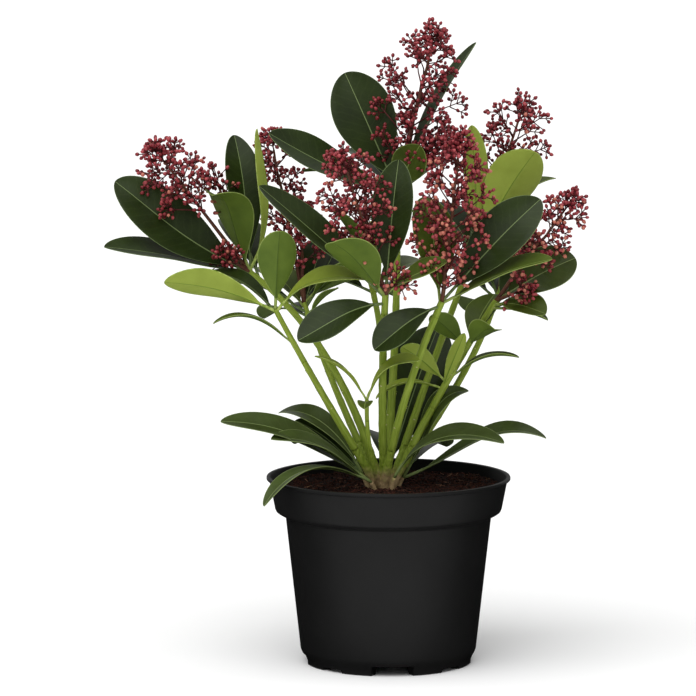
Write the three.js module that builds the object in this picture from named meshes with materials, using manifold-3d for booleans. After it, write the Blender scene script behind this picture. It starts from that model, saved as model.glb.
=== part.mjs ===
// A skimmia in flower bud, growing in a black nursery pot.
//
// A short woody crown stands on the potting mix and sends up a handful of green stems. Each stem
// ends in a whorl of leathery leaves round an upright panicle of unopened buds, and older, longer
// leaves spread from the foot of the stems over the rim of the pot.
//
// Millimetres, +Z up. The origin is the middle of the pot's flat underside, +X lies to the right
// and +Y to the back of the plant as it is usually turned.

import * as THREE from "three";
import { mergeVertices } from "three/addons/utils/BufferGeometryUtils.js";
import Module from "manifold-3d";

const wasm = await Module();
wasm.setup();

// ---------------------------------------------------------------- driving dimensions

const GAP = 0.3; // clearance between two pieces that meet
const GOLDEN_ANGLE = THREE.MathUtils.degToRad(137.5); // turn from one leaf or branch to the next

const POT = {
  height: 146,
  rimRadius: 95,
  lipHeight: 3.5, // the rolled edge at the very top
  lipRound: 0.5,
  collarTop: 92.6, // radius under the lip
  collarFoot: 88.4, // radius at the collar's lower edge
  collarDrop: 25.5, // from the top of the pot to the collar's lower edge
  shoulderDrop: 31, // where the collar has curved in to the body
  shoulderRound: 3,
  bodyTop: 80.2,
  bodyFoot: 69,
  bodyFootHeight: 13,
  footRadius: 65.5,
  footHeight: 7, // height of the ring that it stands on
  wall: 1.6,
  centreRadius: 24, // flat middle that stands on the ground with the ring
  ringWidth: 7,
  draft: 2, // how far the sides of the ring and of the middle lean
  slots: 4, // drain slots through the ring, one of them in front
  slotWidth: 26,
  recessWidth: 15, // shallow recesses half-way between the slots
  recessHeight: 2,
  segments: 32,
};

const MIX = { top: 137 }; // height of the surface

const CROWN = {
  centre: [-3, -2],
  feet: 5, // the stems' feet stand on a circle of this radius
  radius: 6.5,
  neck: 5, // radius of its top
  height: 13,
  sides: 10,
  flare: 0.4, // how much thicker the stems' feet are
  top: 172, // where the stems come free of each other
};

const LEAF = {
  petiole: 0.12, // share of the length
  petioleRadius: 1.2,
  thickness: 0.013, // of the length
  widest: 0.62, // place of the widest point along the blade
  baseTaper: 0.95, // how the outline leaves the petiole; 1 is a straight wedge
  fold: 14, // degrees that each half rises from the midrib
  handle: 0.42, // of the length: how far the lift and the droop carry along the midrib
  stations: [0.36, 0.64, 0.88], // where the blade's outline has its corners
};

const PANICLE = {
  stalkRadius: 1.7,
  branchRadius: 0.8,
  headRadius: 8.5, // a head is a knot of buds at a branch's end
  headSides: 6, // every other one stands out as a bud
  headRings: [
    { place: -0.25, radius: 0.95, hollow: 0.34 }, // all of the head's radius
    { place: 0.35, radius: 0.85, hollow: 0.3 },
  ],
  headFoot: -0.9,
  headTop: 0.95,
  sizeRange: [0.85, 1.15], // of headRadius
  depthRange: [0.7, 1], // how near a head comes to the outside of the dome
  lean: 50, // degrees between a branch and the stalk
  belly: 0.4, // height of the dome's widest place, as a share of it
};

// Stems. around: degrees about the crown's centre at which the foot stands; without it the foot is
// at the centre. middle and tip: points that the stem passes through and ends at. bare: share of
// the length below the foliage.
const STEMS = {
  left_low: { around: 205, middle: [-50, -30, 212], tip: [-87, -45, 281], radii: [3.4, 1.9], bare: 0.72 },
  left_high: { around: 130, middle: [-47, 6, 236], tip: [-108, 5, 305], radii: [3.4, 2.2], bare: 0.86 },
  centre_front: { middle: [-5, -30, 215], tip: [-3, -58, 294], radii: [3.4, 2.6], bare: 0.9 },
  centre_right: { around: 262, middle: [13, -36, 213], tip: [40, -54, 288], radii: [3.2, 2.6], bare: 0.92 },
  right: { around: 344, middle: [42, -2, 214], tip: [83, 0, 283], radii: [3.4, 2.2], bare: 0.42 },
  top: { around: 90, middle: [5, 18, 250], tip: [7, 30, 369], radii: [3.6, 2.2], bare: 0.92 },
  upper_right: { around: 16, middle: [38, 22, 240], tip: [70, 25, 326], radii: [3.2, 2.2], bare: 0.9 },
  back_centre: { around: 110, middle: [-3, 50, 222], tip: [-14, 92, 290], radii: [3.2, 2.2], bare: 0.88 },
  back_right: { around: 62, middle: [55, 48, 212], tip: [88, 82, 280], radii: [3.2, 2.2], bare: 0.88 },
  back_left: { around: 138, middle: [-42, 30, 212], tip: [-66, 50, 276], radii: [3.2, 2], bare: 0.86 },
  young: { around: 222, middle: [-15, -32, 174], tip: [-17, -42, 211], radii: [2, 1.6], bare: 0.8 },
};

// Leaves of each stem. down: millimetres from the stem's tip to the leaf's foot. reach: from foot
// to leaf tip. wide: greatest width. lift and droop: degrees by which the midrib rises from the
// straight line at its foot and falls to it at its tip. faces: where the upper side looks. bow: how
// far the midrib bends sideways, as a share of the length.
const UP = [0, 0, 1];
const LEAVES = {
  left_low: [
    { down: 2, reach: [-85, -12, 24], wide: 32, lift: 14, droop: 14, faces: [0, 1, 1] },
    { down: 0, reach: [4, -24, 62], wide: 30, lift: 4, droop: 14 },
    { down: 2, reach: [68, -6, 25], wide: 30, lift: 36, droop: 34, faces: [0, -0.3, 1] },
    { down: 34, reach: [-63, -8, 19], wide: 16, lift: 30, droop: 45 },
    { down: 5, reach: [-56, 28, 30], wide: 30, lift: 18, droop: 26 },
  ],
  left_high: [
    { down: 8, reach: [-110, 0, 75], wide: 44, lift: 4, droop: 10, faces: [0.3, -1, 0.5], bow: -0.055 },
    { down: 4, reach: [-114, -26, 24], wide: 38, lift: 2, droop: 6, faces: [0, -0.35, 1] },
    { down: 2, reach: [-29, -32, 63], wide: 42, lift: 8, droop: 58, bow: 0.08 },
    { down: 14, reach: [-62, 40, 14], wide: 34, lift: 15, droop: 22 },
    { down: 2, reach: [-14, 34, 105], wide: 30, lift: 4, droop: 16 },
    { down: 0, reach: [6, 14, 110], wide: 26, lift: -25, droop: -14, faces: [-1, 0.25, 0] },
    { down: 10, reach: [-26, 70, 40], wide: 34, lift: 15, droop: 25 },
  ],
  centre_front: [
    { down: 8, reach: [-66, -20, -26], wide: 32, lift: 28, droop: 8, faces: [-0.3, -1, 0.9] },
    { down: 2, reach: [-40, -42, 45], wide: 38, lift: 8, droop: 18, faces: [0.3, 0.9, 0.8] },
    { down: 0, reach: [10, 16, 101], wide: 32, lift: 4, droop: 10, faces: [-0.2, -1, 0.1] },
    { down: 3, reach: [-96, 14, 84], wide: 36, lift: 2, droop: 2, faces: [0.2, -0.45, 1] },
    { down: 0, reach: [46, -16, 26], wide: 26, lift: 14, droop: 6, faces: [0, -0.5, 1] },
  ],
  centre_right: [
    { down: 4, reach: [-50, -14, -32], wide: 30, lift: 22, droop: 10, faces: [-0.3, -1, 0.9] },
    { down: 2, reach: [84, -10, 35], wide: 34, lift: 5, droop: 12, faces: [0, -0.25, 1] },
    { down: 0, reach: [75, 12, 77], wide: 40, lift: 4, droop: 12, faces: [-0.2, -1, 0.5] },
    { down: 3, reach: [-12, 28, 80], wide: 36, lift: 5, droop: 15 },
  ],
  right: [
    { down: 4, reach: [40, -20, -5], wide: 30, lift: 20, droop: 14, faces: [0, -0.5, 1] },
    { down: 7, reach: [44, -4, -9], wide: 27, lift: 14, droop: 12 },
    { down: 0, reach: [62, 10, 32], wide: 38, lift: 8, droop: 14, faces: [-0.2, -1, 0.6] },
    { down: 3, reach: [44, 52, 26], wide: 36, lift: 15, droop: 25 },
    { down: 43, reach: [-28, -8, 26], wide: 20, lift: 10, droop: 15, faces: [0, 0.9, 0.6] },
    { down: 42, reach: [22, 28, 38], wide: 28, lift: 6, droop: 12 },
    { down: 42, reach: [21, -16, 15], wide: 28, lift: 20, droop: 45, faces: [0, 0.6, 1] },
    { down: 72, reach: [55, -4, 18], wide: 20, lift: 24, droop: 30 },
    { down: 84, reach: [18, -18, 49], wide: 11, lift: 10, droop: 5, faces: [0, 1, 0.3] },
    { down: 74, reach: [-35, -12, 29], wide: 18, lift: 10, droop: 20, faces: [0, 1, 0.5] },
    { down: 80, reach: [-52, -6, -7], wide: 18, lift: 32, droop: 34 },
  ],
  top: [
    { down: 4, reach: [-41, 16, 92], wide: 48, lift: 4, droop: 10, faces: [0, -1, 0.2] },
    { down: 6, reach: [-100, -4, 48], wide: 40, lift: -6, droop: -6, faces: [0, -0.6, 1] },
    { down: 0, reach: [17, -24, 34], wide: 28, lift: 10, droop: 20, faces: [0.2, -1, 0.6] },
    { down: 4, reach: [62, 34, 115], wide: 26, lift: 5, droop: 8, faces: [-1, -0.4, 0.2] },
    { down: 8, reach: [-74, 26, 18], wide: 30, lift: 12, droop: 20 },
    { down: 6, reach: [-42, 46, 32], wide: 32, lift: 12, droop: 22 },
    { down: 8, reach: [42, 52, 26], wide: 36, lift: 14, droop: 24 },
    { down: 11, reach: [0, 66, 22], wide: 36, lift: 14, droop: 24 },
  ],
  upper_right: [
    { down: 0, reach: [43, -22, 72], wide: 42, lift: 4, droop: 16, faces: [-0.2, 1, 0.3] },
    { down: 2, reach: [-5, -14, 94], wide: 20, lift: 4, droop: 10, faces: [0.3, 1, 0] },
    { down: 3, reach: [12, 26, 58], wide: 32, lift: 6, droop: 16 },
    { down: 6, reach: [64, 34, 53], wide: 30, lift: 8, droop: 30 },
    { down: 6, reach: [20, 62, 30], wide: 34, lift: 14, droop: 24 },
    { down: 9, reach: [-36, 50, 34], wide: 34, lift: 14, droop: 24 },
  ],
  back_left: [
    { down: 2, reach: [18, 24, 52], wide: 32, lift: 5, droop: 15 },
    { down: 0, reach: [54, -8, 26], wide: 28, lift: 25, droop: 25, faces: [0, 0.8, 1] },
    { down: 4, reach: [38, 22, 42], wide: 32, lift: 8, droop: 18 },
    { down: 10, reach: [24, -10, 22], wide: 18, lift: 10, droop: 15 },
    { down: 6, reach: [-42, 52, 28], wide: 34, lift: 14, droop: 24 },
    { down: 6, reach: [6, 66, 24], wide: 34, lift: 14, droop: 24 },
    { down: 9, reach: [-64, -2, 24], wide: 34, lift: 14, droop: 24 },
    { down: 12, reach: [-36, 44, -6], wide: 32, lift: 20, droop: 30 },
  ],
  back_centre: [
    { down: 2, reach: [-60, 30, 44], wide: 38, lift: 10, droop: 22 },
    { down: 2, reach: [20, 64, 44], wide: 38, lift: 10, droop: 22 },
    { down: 5, reach: [-26, 78, 20], wide: 40, lift: 16, droop: 30 },
    { down: 8, reach: [52, 56, 12], wide: 36, lift: 16, droop: 30 },
    { down: 4, reach: [34, -10, 60], wide: 34, lift: 8, droop: 20 },
    { down: 12, reach: [-58, 50, -4], wide: 36, lift: 20, droop: 30 },
    { down: 3, reach: [-34, -12, 62], wide: 34, lift: 8, droop: 20 },
    { down: 14, reach: [16, 72, -8], wide: 36, lift: 20, droop: 34 },
  ],
  back_right: [
    { down: 2, reach: [-30, 44, 60], wide: 38, lift: 8, droop: 20 },
    { down: 2, reach: [46, 56, 34], wide: 38, lift: 10, droop: 24 },
    { down: 6, reach: [10, 76, 14], wide: 38, lift: 16, droop: 28 },
    { down: 5, reach: [-56, 34, 26], wide: 34, lift: 14, droop: 24 },
    { down: 10, reach: [38, 42, 8], wide: 34, lift: 18, droop: 30 },
    { down: 2, reach: [30, 2, 66], wide: 34, lift: 8, droop: 18 },
    { down: 14, reach: [-14, 60, -10], wide: 34, lift: 20, droop: 34 },
    { down: 13, reach: [40, -14, 4], wide: 30, lift: 20, droop: 30 },
  ],
  young: [
    { down: 1, reach: [-40, -4, 35], wide: 16, lift: 22, droop: 24 },
    { down: 0, reach: [40, -14, 32], wide: 22, lift: 34, droop: 44, faces: [0, -0.3, 1] },
    { down: 2, reach: [-2, -24, -2], wide: 12, lift: 15, droop: 30 },
  ],
};

// Panicles, each from its stem's tip. reach: from there to the top of the panicle. bare: share of
// it below the dome of buds. spread: radius of the dome at its widest.
const PANICLES = {
  left_high: [
    { reach: [-76, -14, 101], bare: 0.55, spread: 34, heads: 14, seed: 11 },
    { reach: [-31, 8, 86], bare: 0.6, spread: 17, heads: 3, seed: 17 },
    { reach: [-26, -18, 18], bare: 0.5, spread: 21, heads: 3, seed: 19 },
  ],
  centre_front: [
    { reach: [-35, -8, 112], bare: 0.32, spread: 35, heads: 17, seed: 23 },
    { reach: [14, -12, 18], bare: 0.5, spread: 18, heads: 2, seed: 29 },
  ],
  centre_right: [{ reach: [14, -8, 130], bare: 0.14, spread: 37, heads: 27, seed: 37 }],
  right: [
    { reach: [64, 4, 84], bare: 0.4, spread: 27, heads: 12, seed: 41 },
    { reach: [30, -16, 14], bare: 0.5, spread: 22, heads: 3, seed: 43 },
  ],
  top: [
    { reach: [30, -6, 125], bare: 0.2, spread: 42, heads: 25, seed: 53 },
    { reach: [40, -20, 42], bare: 0.5, spread: 20, heads: 6, seed: 59 },
  ],
  upper_right: [{ reach: [38, 24, 112], bare: 0.5, spread: 36, heads: 14, seed: 61 }],
  back_left: [
    { reach: [-28, 10, 138], bare: 0.42, spread: 27, heads: 12, seed: 73 },
    { reach: [-4, -6, 84], bare: 0.4, spread: 24, heads: 7, seed: 79 },
  ],
  back_centre: [{ reach: [-4, 26, 84], bare: 0.35, spread: 32, heads: 12, seed: 83 }],
  back_right: [{ reach: [14, 20, 78], bare: 0.35, spread: 30, heads: 11, seed: 97 }],
};

// Old leaves round the foot of the plant, in tufts on short suckers beside the crown. around:
// degrees about the crown's centre. rise: height of the sucker.
const SUCKER = { foot: 13, out: 4, radius: 1.7 };
const TUFTS = {
  tuft_left: {
    around: 232,
    rise: 6,
    leaves: [
      { reach: [-116, -18, 50], wide: 28, lift: 14, droop: 26, faces: [0, -0.5, 1] },
      { reach: [-77, -31, 38], wide: 26, lift: 12, droop: 30, faces: [0, -0.3, 1] },
      { reach: [-82, -56, -10], wide: 19, lift: 34, droop: 48 },
    ],
  },
  tuft_back_left: {
    around: 170,
    rise: 9,
    leaves: [
      { reach: [-66, 30, 45], wide: 22, lift: 38, droop: 52, faces: [0, -0.4, 1] },
      { reach: [-53, 15, 41], wide: 24, lift: 12, droop: 20, faces: [0, -0.5, 1] },
      { reach: [-54, 68, 15], wide: 30, lift: 30, droop: 35 },
    ],
  },
  tuft_right: {
    around: 296,
    rise: 10,
    leaves: [{ reach: [84, -22, 30], wide: 30, lift: 44, droop: 42, faces: [0, -0.3, 1] }],
  },
  tuft_back_right: {
    around: 34,
    rise: 6,
    leaves: [
      { reach: [112, 1, 31], wide: 28, lift: 4, droop: 42, faces: [0, -0.2, 1] },
      { reach: [51, -3, 69], wide: 22, lift: 2, droop: 64, faces: [-0.4, -0.6, 1] },
      { reach: [36, 67, 15], wide: 30, lift: 30, droop: 35 },
    ],
  },
  tuft_back: {
    around: 84,
    rise: 7,
    leaves: [
      { reach: [41, 37, 113], wide: 50, lift: 4, droop: 14, faces: [-0.2, -1, 0.3] },
      { reach: [4, 82, 17], wide: 32, lift: 28, droop: 36 },
    ],
  },
};

// ---------------------------------------------------------------- small tools

const vec = (a) => new THREE.Vector3(...a);

// A repeatable stream of numbers from 0 to 1.
function seeded(seed) {
  let state = seed;
  return () => {
    state = (state * 16807) % 2147483647;
    return state / 2147483647;
  };
}

// The closed solid inside a skin. Faces that have shrunk to a line are dropped.
function solid(geometry) {
  const bare = geometry.index ? geometry.toNonIndexed() : geometry.clone();
  for (const name of Object.keys(bare.attributes)) {
    if (name !== "position") bare.deleteAttribute(name);
  }
  const merged = mergeVertices(bare, 1e-4);
  const corners = Array.from(merged.index.array);
  const faces = [];
  for (let k = 0; k < corners.length; k += 3) {
    const face = corners.slice(k, k + 3);
    if (new Set(face).size === 3) faces.push(...face);
  }
  return new wasm.Manifold(
    new wasm.Mesh({
      numProp: 3,
      vertProperties: merged.attributes.position.array,
      triVerts: new Uint32Array(faces),
    }),
  );
}

// A node of the plant from its solid. Faces too small to see are merged into their neighbours, and
// scraps that a cut leaves loose are dropped.
function node(name, body, material) {
  const bodies = body.asOriginal().simplify(GAP / 3).decompose();
  const whole = bodies.sort((a, b) => b.volume() - a.volume())[0];
  const { vertProperties, triVerts } = whole.getMesh();
  const geometry = new THREE.BufferGeometry();
  geometry.setAttribute("position", new THREE.BufferAttribute(vertProperties, 3));
  geometry.setIndex(new THREE.BufferAttribute(triVerts, 1));
  geometry.computeVertexNormals();
  const mesh = new THREE.Mesh(geometry, material);
  mesh.name = name;
  return mesh;
}

// A closed skin through rings of equally many points, each counterclockwise about the way ahead.
// Each end is flat, or runs out in the point given for it.
function loft(rings, tip = null, tail = null) {
  const sides = rings[0].length;
  const last = (rings.length - 1) * sides;
  const points = rings.flat();
  const faces = [];
  const close = (first, point, flip) => {
    if (point) points.push(point);
    for (let s = point ? 0 : 1; s < (point ? sides : sides - 1); s += 1) {
      const rim = [first + s, first + ((s + 1) % sides)];
      faces.push(...(flip ? rim.reverse() : rim), point ? points.length - 1 : first);
    }
  };
  close(0, tail, true);
  for (let r = 1; r < rings.length; r += 1) {
    for (let s = 0; s < sides; s += 1) {
      const [a, b] = [(r - 1) * sides + s, (r - 1) * sides + ((s + 1) % sides)];
      faces.push(a, b, b + sides, a, b + sides, a + sides);
    }
  }
  close(last, tip, false);
  const geometry = new THREE.BufferGeometry().setFromPoints(points);
  geometry.setIndex(faces);
  return solid(geometry);
}

// Points round a centre, square to a direction.
function ring(centre, along, radius, sides) {
  const helper = Math.abs(along.y) < 0.9 ? new THREE.Vector3(0, 1, 0) : new THREE.Vector3(1, 0, 0);
  const across = helper.clone().cross(along).normalize();
  const up = along.clone().normalize().cross(across);
  return Array.from({ length: sides }, (_, s) => {
    const turn = (2 * Math.PI * s) / sides;
    return centre
      .clone()
      .addScaledVector(across, radius * Math.cos(turn))
      .addScaledVector(up, radius * Math.sin(turn));
  });
}

function rod(from, to, startRadius, endRadius, sides) {
  const along = to.clone().sub(from).normalize();
  return loft([ring(from, along, startRadius, sides), ring(to, along, endRadius, sides)]);
}

// ---------------------------------------------------------------- pot and potting mix

// A solid of revolution from [radius, height] points.
function turned(profile, segments) {
  const points = profile.map(([radius, height]) => new THREE.Vector2(radius, height));
  return solid(new THREE.LatheGeometry(points, segments).rotateX(Math.PI / 2));
}

// Inner radius of the pot at a height: it follows the outside, one wall thickness in.
function innerRadius(height) {
  const p = POT;
  const stages = [
    [p.footHeight, p.footRadius],
    [p.bodyFootHeight, p.bodyFoot],
    [p.height - p.shoulderDrop, p.bodyTop],
    [p.height - p.collarDrop, p.collarFoot],
    [p.height, p.collarTop],
  ];
  const next = Math.max(1, stages.findIndex(([level]) => level >= height));
  const [[z0, r0], [z1, r1]] = [stages[next - 1], stages[next]];
  return THREE.MathUtils.mapLinear(height, z0, z1, r0, r1) - p.wall;
}

function makePot() {
  const p = POT;
  const floor = p.footHeight + p.wall;
  const levels = [floor, p.bodyFootHeight, p.height - p.shoulderDrop, p.height - p.collarDrop, p.height];
  const inside = levels.map((height) => [innerRadius(height), height]);
  const outside = [
    [p.rimRadius - p.lipRound, p.height],
    [p.rimRadius, p.height - 2 * p.lipRound],
    [p.rimRadius - p.lipRound, p.height - p.lipHeight],
    [p.collarTop, p.height - p.lipHeight - p.lipRound],
    [p.collarFoot, p.height - p.collarDrop],
    [p.collarFoot - p.shoulderRound, p.height - p.collarDrop - p.shoulderRound],
    [p.bodyTop, p.height - p.shoulderDrop],
    [p.bodyFoot, p.bodyFootHeight],
    [p.footRadius + p.draft / 2, p.footHeight + p.wall],
    [p.footRadius, 0],
    [p.footRadius - p.ringWidth, 0],
    [p.footRadius - p.ringWidth - p.draft, p.footHeight],
    [p.centreRadius + p.draft, p.footHeight],
    [p.centreRadius, 0],
    [0, 0],
  ];
  let pot = turned([[0, floor], ...inside, ...outside].reverse(), p.segments);
  for (let k = 0; k < p.slots; k += 1) {
    const turn = (2 * Math.PI * k) / p.slots;
    pot = pot.subtract(footCut(p.slotWidth, p.footHeight, turn));
    pot = pot.subtract(footCut(p.recessWidth, p.recessHeight, turn + Math.PI / p.slots));
  }
  return pot;
}

// A block that cuts up into the foot ring and right through it, at an angle from the front.
function footCut(width, height, turn) {
  const depth = 2 * (POT.ringWidth + POT.draft);
  const block = new THREE.BoxGeometry(width, depth, 2 * height);
  block.translate(0, -POT.footRadius + POT.ringWidth / 2, 0).rotateZ(turn);
  return solid(block);
}

function makeMix() {
  const floor = POT.footHeight + POT.wall + GAP;
  const levels = [floor, POT.bodyFootHeight + 1, POT.height - POT.shoulderDrop - 0.5];
  const side = levels.map((height) => [innerRadius(height) - GAP, height]);
  const { top } = MIX;
  return turned([[0, floor], ...side, [innerRadius(top - 8) - 2 * GAP, top], [0, top]], POT.segments);
}

// ---------------------------------------------------------------- stems

// A point beside the crown, some way out and above the potting mix.
function besideCrown(around, out, height) {
  const angle = THREE.MathUtils.degToRad(around);
  const [x, y] = CROWN.centre;
  return new THREE.Vector3(x + out * Math.cos(angle), y + out * Math.sin(angle), MIX.top + height);
}

// A stem's centre line: the curve from its foot through its middle to its tip.
function centreLine({ around, ...given }) {
  const [middle, tip] = [vec(given.middle), vec(given.tip)];
  const foot = besideCrown(around ?? 0, around === undefined ? 0 : CROWN.feet, 0);
  const control = middle.clone().multiplyScalar(2).addScaledVector(foot, -0.5).addScaledVector(tip, -0.5);
  return new THREE.QuadraticBezierCurve3(foot, control, tip);
}

// The stretch of a stem from one share of its length to another, swollen by extra.
function limb(stem, from, to, extra = 0, sides = 6, steps = 3) {
  const line = centreLine(stem);
  const [thick, thin] = stem.radii;
  const rings = [];
  for (let k = 0; k <= steps; k += 1) {
    const share = THREE.MathUtils.lerp(from, to, k / steps);
    const radius = THREE.MathUtils.lerp(thick, thin, share) + extra;
    rings.push(ring(line.getPointAt(share), line.getTangentAt(share), radius, sides));
  }
  return loft(rings);
}

// Share of a stem's length at which it rises out of the crown.
function crownShare(stem) {
  const line = centreLine(stem);
  const step = 0.002;
  let share = 0;
  while (line.getPointAt(share).z < CROWN.top) share += step;
  return share;
}

// The clearance, as a share of a stem's length.
const gapShare = (stem) => GAP / centreLine(stem).getLength();

// The woody crown with the feet of all the stems, cut flat just above the potting mix.
function makeCrown() {
  const z = MIX.top + GAP;
  const stub = new THREE.CylinderGeometry(CROWN.neck, CROWN.radius, CROWN.height, CROWN.sides);
  stub.rotateX(Math.PI / 2).translate(...CROWN.centre, z + CROWN.height / 2);
  const feet = Object.values(STEMS).map((stem) => limb(stem, 0, crownShare(stem), CROWN.flare, 5, 1));
  return wasm.Manifold.union([solid(stub), ...feet]).trimByPlane([0, 0, 1], z);
}

// A stem from the crown to its foliage.
const makeStem = (stem) => limb(stem, crownShare(stem) + gapShare(stem), stem.bare);

// ---------------------------------------------------------------- leaves

// Half-width of a blade at a share of the leaf's length, as a share of the half-width at most.
function outline(share) {
  const u = (share - LEAF.petiole) / (1 - LEAF.petiole);
  const tipTaper = (LEAF.baseTaper * (1 - LEAF.widest)) / LEAF.widest;
  return (u / LEAF.widest) ** LEAF.baseTaper * ((1 - u) / (1 - LEAF.widest)) ** tipTaper;
}

// One leaf as a thin closed blade on its petiole.
function makeLeaf(foot, { reach, wide, lift, droop, faces = UP, bow = 0 }) {
  const span = vec(reach);
  const length = span.length();
  const ahead = span.clone().normalize();
  const normal = vec(faces).addScaledVector(ahead, -vec(faces).dot(ahead)).normalize();
  const side = ahead.clone().cross(normal);
  const leaning = (degrees, size) => {
    const angle = THREE.MathUtils.degToRad(degrees);
    const forward = ahead.clone().multiplyScalar(size * Math.cos(angle));
    return forward.addScaledVector(normal, size * Math.sin(angle));
  };
  const tip = foot.clone().add(span);
  const handle = LEAF.handle * length;
  const midrib = new THREE.CubicBezierCurve3(
    foot,
    foot.clone().add(leaning(lift, handle)),
    tip.clone().add(leaning(180 - droop, handle)),
    tip,
  );
  const section = (share, halfWidth, thickness, raise) => {
    const bend = bow * length * Math.sin(Math.PI * share);
    const centre = midrib.getPoint(share).addScaledVector(side, bend);
    const above = side.clone().cross(midrib.getTangent(share));
    const at = (across, up) => centre.clone().addScaledVector(side, across).addScaledVector(above, up);
    return [at(0, thickness / 2), at(halfWidth, raise), at(0, -thickness / 2), at(-halfWidth, raise)];
  };
  const stalk = LEAF.petioleRadius;
  const rings = [section(0, stalk, 2 * stalk, 0), section(LEAF.petiole, stalk, 2 * stalk, 0)];
  for (const share of LEAF.stations) {
    const halfWidth = (outline(share) * wide) / 2;
    const raise = halfWidth * Math.tan(THREE.MathUtils.degToRad(LEAF.fold));
    rings.push(section(share, halfWidth, LEAF.thickness * length, raise));
  }
  return loft(rings, tip);
}

// ---------------------------------------------------------------- panicles

// A branch with a knot of unopened buds round its end: two rings of them, one turned half a bud
// against the other, and one bud on top. The three-sided branch and the knot are one skin.
function makeHead(root, end, size) {
  const heading = end.clone().sub(root).normalize();
  const along = (distance) => end.clone().addScaledVector(heading, distance * size);
  const branch = (place) =>
    ring(place, heading, PANICLE.branchRadius, PANICLE.headSides / 2).flatMap((p) => [p, p.clone()]);
  const knot = PANICLE.headRings.map(({ place, radius, hollow }, k) => {
    const middle = along(place);
    return ring(middle, heading, size, PANICLE.headSides).map((point, s) =>
      point.lerp(middle, 1 - (s % 2 === k ? radius : hollow)),
    );
  });
  return loft([branch(root), branch(along(PANICLE.headFoot)), ...knot], along(PANICLE.headTop));
}

// The heads of a panicle stand on a dome and inside it, turned by the golden angle from one to
// the next. A branch leads up to each from the stalk.
function makePanicle(from, { reach, bare, spread, heads, seed }, grow) {
  const { stalkRadius, branchRadius, headRadius, sizeRange, depthRange, lean, belly } = PANICLE;
  const random = seeded(seed);
  const along = vec(reach).normalize();
  const height = vec(reach).length();
  const outward = ring(new THREE.Vector3(), along, 1, 1)[0];
  const at = (level, out, turn) => {
    const away = outward.clone().applyAxisAngle(along, turn);
    return from.clone().addScaledVector(along, level).addScaledVector(away, out);
  };
  const last = at(height - 2.2 * headRadius, 0, 0);
  grow(rod(from, last, stalkRadius, branchRadius, 4));
  grow(makeHead(last, at(height - headRadius, 0, 0), headRadius));
  for (let k = 0; k < heads; k += 1) {
    const climb = k / heads;
    const room = spread * Math.sqrt(1 - ((climb - belly) / (1 - belly)) ** 2) - headRadius;
    const out = room * THREE.MathUtils.lerp(...depthRange, random());
    const size = headRadius * THREE.MathUtils.lerp(...sizeRange, random());
    const level = height * (bare + (1 - bare) * climb);
    const fork = level - out / Math.tan(THREE.MathUtils.degToRad(lean));
    const root = at(Math.max(fork, (height * bare) / 2), 0, 0);
    const end = at(level, out, k * GOLDEN_ANGLE + seed);
    grow(makeHead(root, end, size));
  }
}

// ---------------------------------------------------------------- masses

// Gathers the pieces of a mass. A piece that would touch another mass or a stem is left out.
function mass(grown, add) {
  const parts = [];
  add((piece) => {
    if (grown.every((other) => piece.intersect(other).isEmpty())) parts.push(piece);
  });
  return wasm.Manifold.union(parts);
}

// The leafy end of a stem, with its whorl of leaves and its panicle.
function growFoliage(name, grow) {
  const stem = STEMS[name];
  const line = centreLine(stem);
  const length = line.getLength();
  const tip = line.getPointAt(1);
  grow(limb(stem, stem.bare + gapShare(stem), 1, 0, 5, 2));
  for (const panicle of PANICLES[name] ?? []) makePanicle(tip, panicle, grow);
  for (const leaf of LEAVES[name]) grow(makeLeaf(line.getPointAt(1 - leaf.down / length), leaf));
}

// A tuft of leaves on a sucker, which is cut flat just above the potting mix.
function growTuft({ around, rise, leaves }, grow) {
  const { foot, out, radius } = SUCKER;
  const end = besideCrown(around, foot + out, rise);
  const sucker = rod(besideCrown(around, foot - out / 2, -rise / 2), end, radius, radius, 6);
  grow(sucker.trimByPlane([0, 0, 1], MIX.top + GAP));
  for (const leaf of leaves) grow(makeLeaf(end, leaf));
}

// ---------------------------------------------------------------- the plant

const finish = (color, roughness) => new THREE.MeshStandardMaterial({ color, roughness, metalness: 0 });
const MATERIALS = {
  pot: finish(0x1d1e1f, 0.45),
  mix: finish(0x2f1d17, 0.95),
  wood: finish(0xb39a78, 0.85),
  stem: finish(0x7f9a35, 0.55),
  foliage: finish(0x3f5a2f, 0.4),
};

const plant = new THREE.Group();
plant.add(node("pot", makePot(), MATERIALS.pot));
plant.add(node("potting_mix", makeMix(), MATERIALS.mix));
const crown = makeCrown();
plant.add(node("crown", crown, MATERIALS.wood));
const grown = [crown];
for (const [name, stem] of Object.entries(STEMS)) {
  grown.push(makeStem(stem));
  plant.add(node(`stem_${name}`, grown.at(-1), MATERIALS.stem));
}
for (const name of Object.keys(STEMS)) {
  grown.push(mass(grown, (grow) => growFoliage(name, grow)));
  plant.add(node(`foliage_${name}`, grown.at(-1), MATERIALS.foliage));
}
for (const [name, tuft] of Object.entries(TUFTS)) {
  grown.push(mass(grown, (grow) => growTuft(tuft, grow)));
  plant.add(node(name, grown.at(-1), MATERIALS.foliage));
}

export default plant;
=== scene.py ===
"""A skimmia in flower bud, standing in a black nursery pot.

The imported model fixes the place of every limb, leaf and bud knot. The plant is grown again here
by the same rule from the same sizes, and carried on to what a close look shows: pedicels and
single buds, leaves with a midrib, a margin and two different sides, leaf scars on green stems, a
woody crown, and loose peat. Lengths are millimetres until a mesh is made. +Z is up, +X is to the
right and +Y to the back.
"""

import logging
import math
from collections.abc import Callable, Iterator, Sequence
from contextlib import contextmanager
from dataclasses import dataclass, field
from enum import Enum, IntEnum

import bmesh
import bpy
import numpy as np
from mathutils import Matrix, Vector, noise


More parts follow.
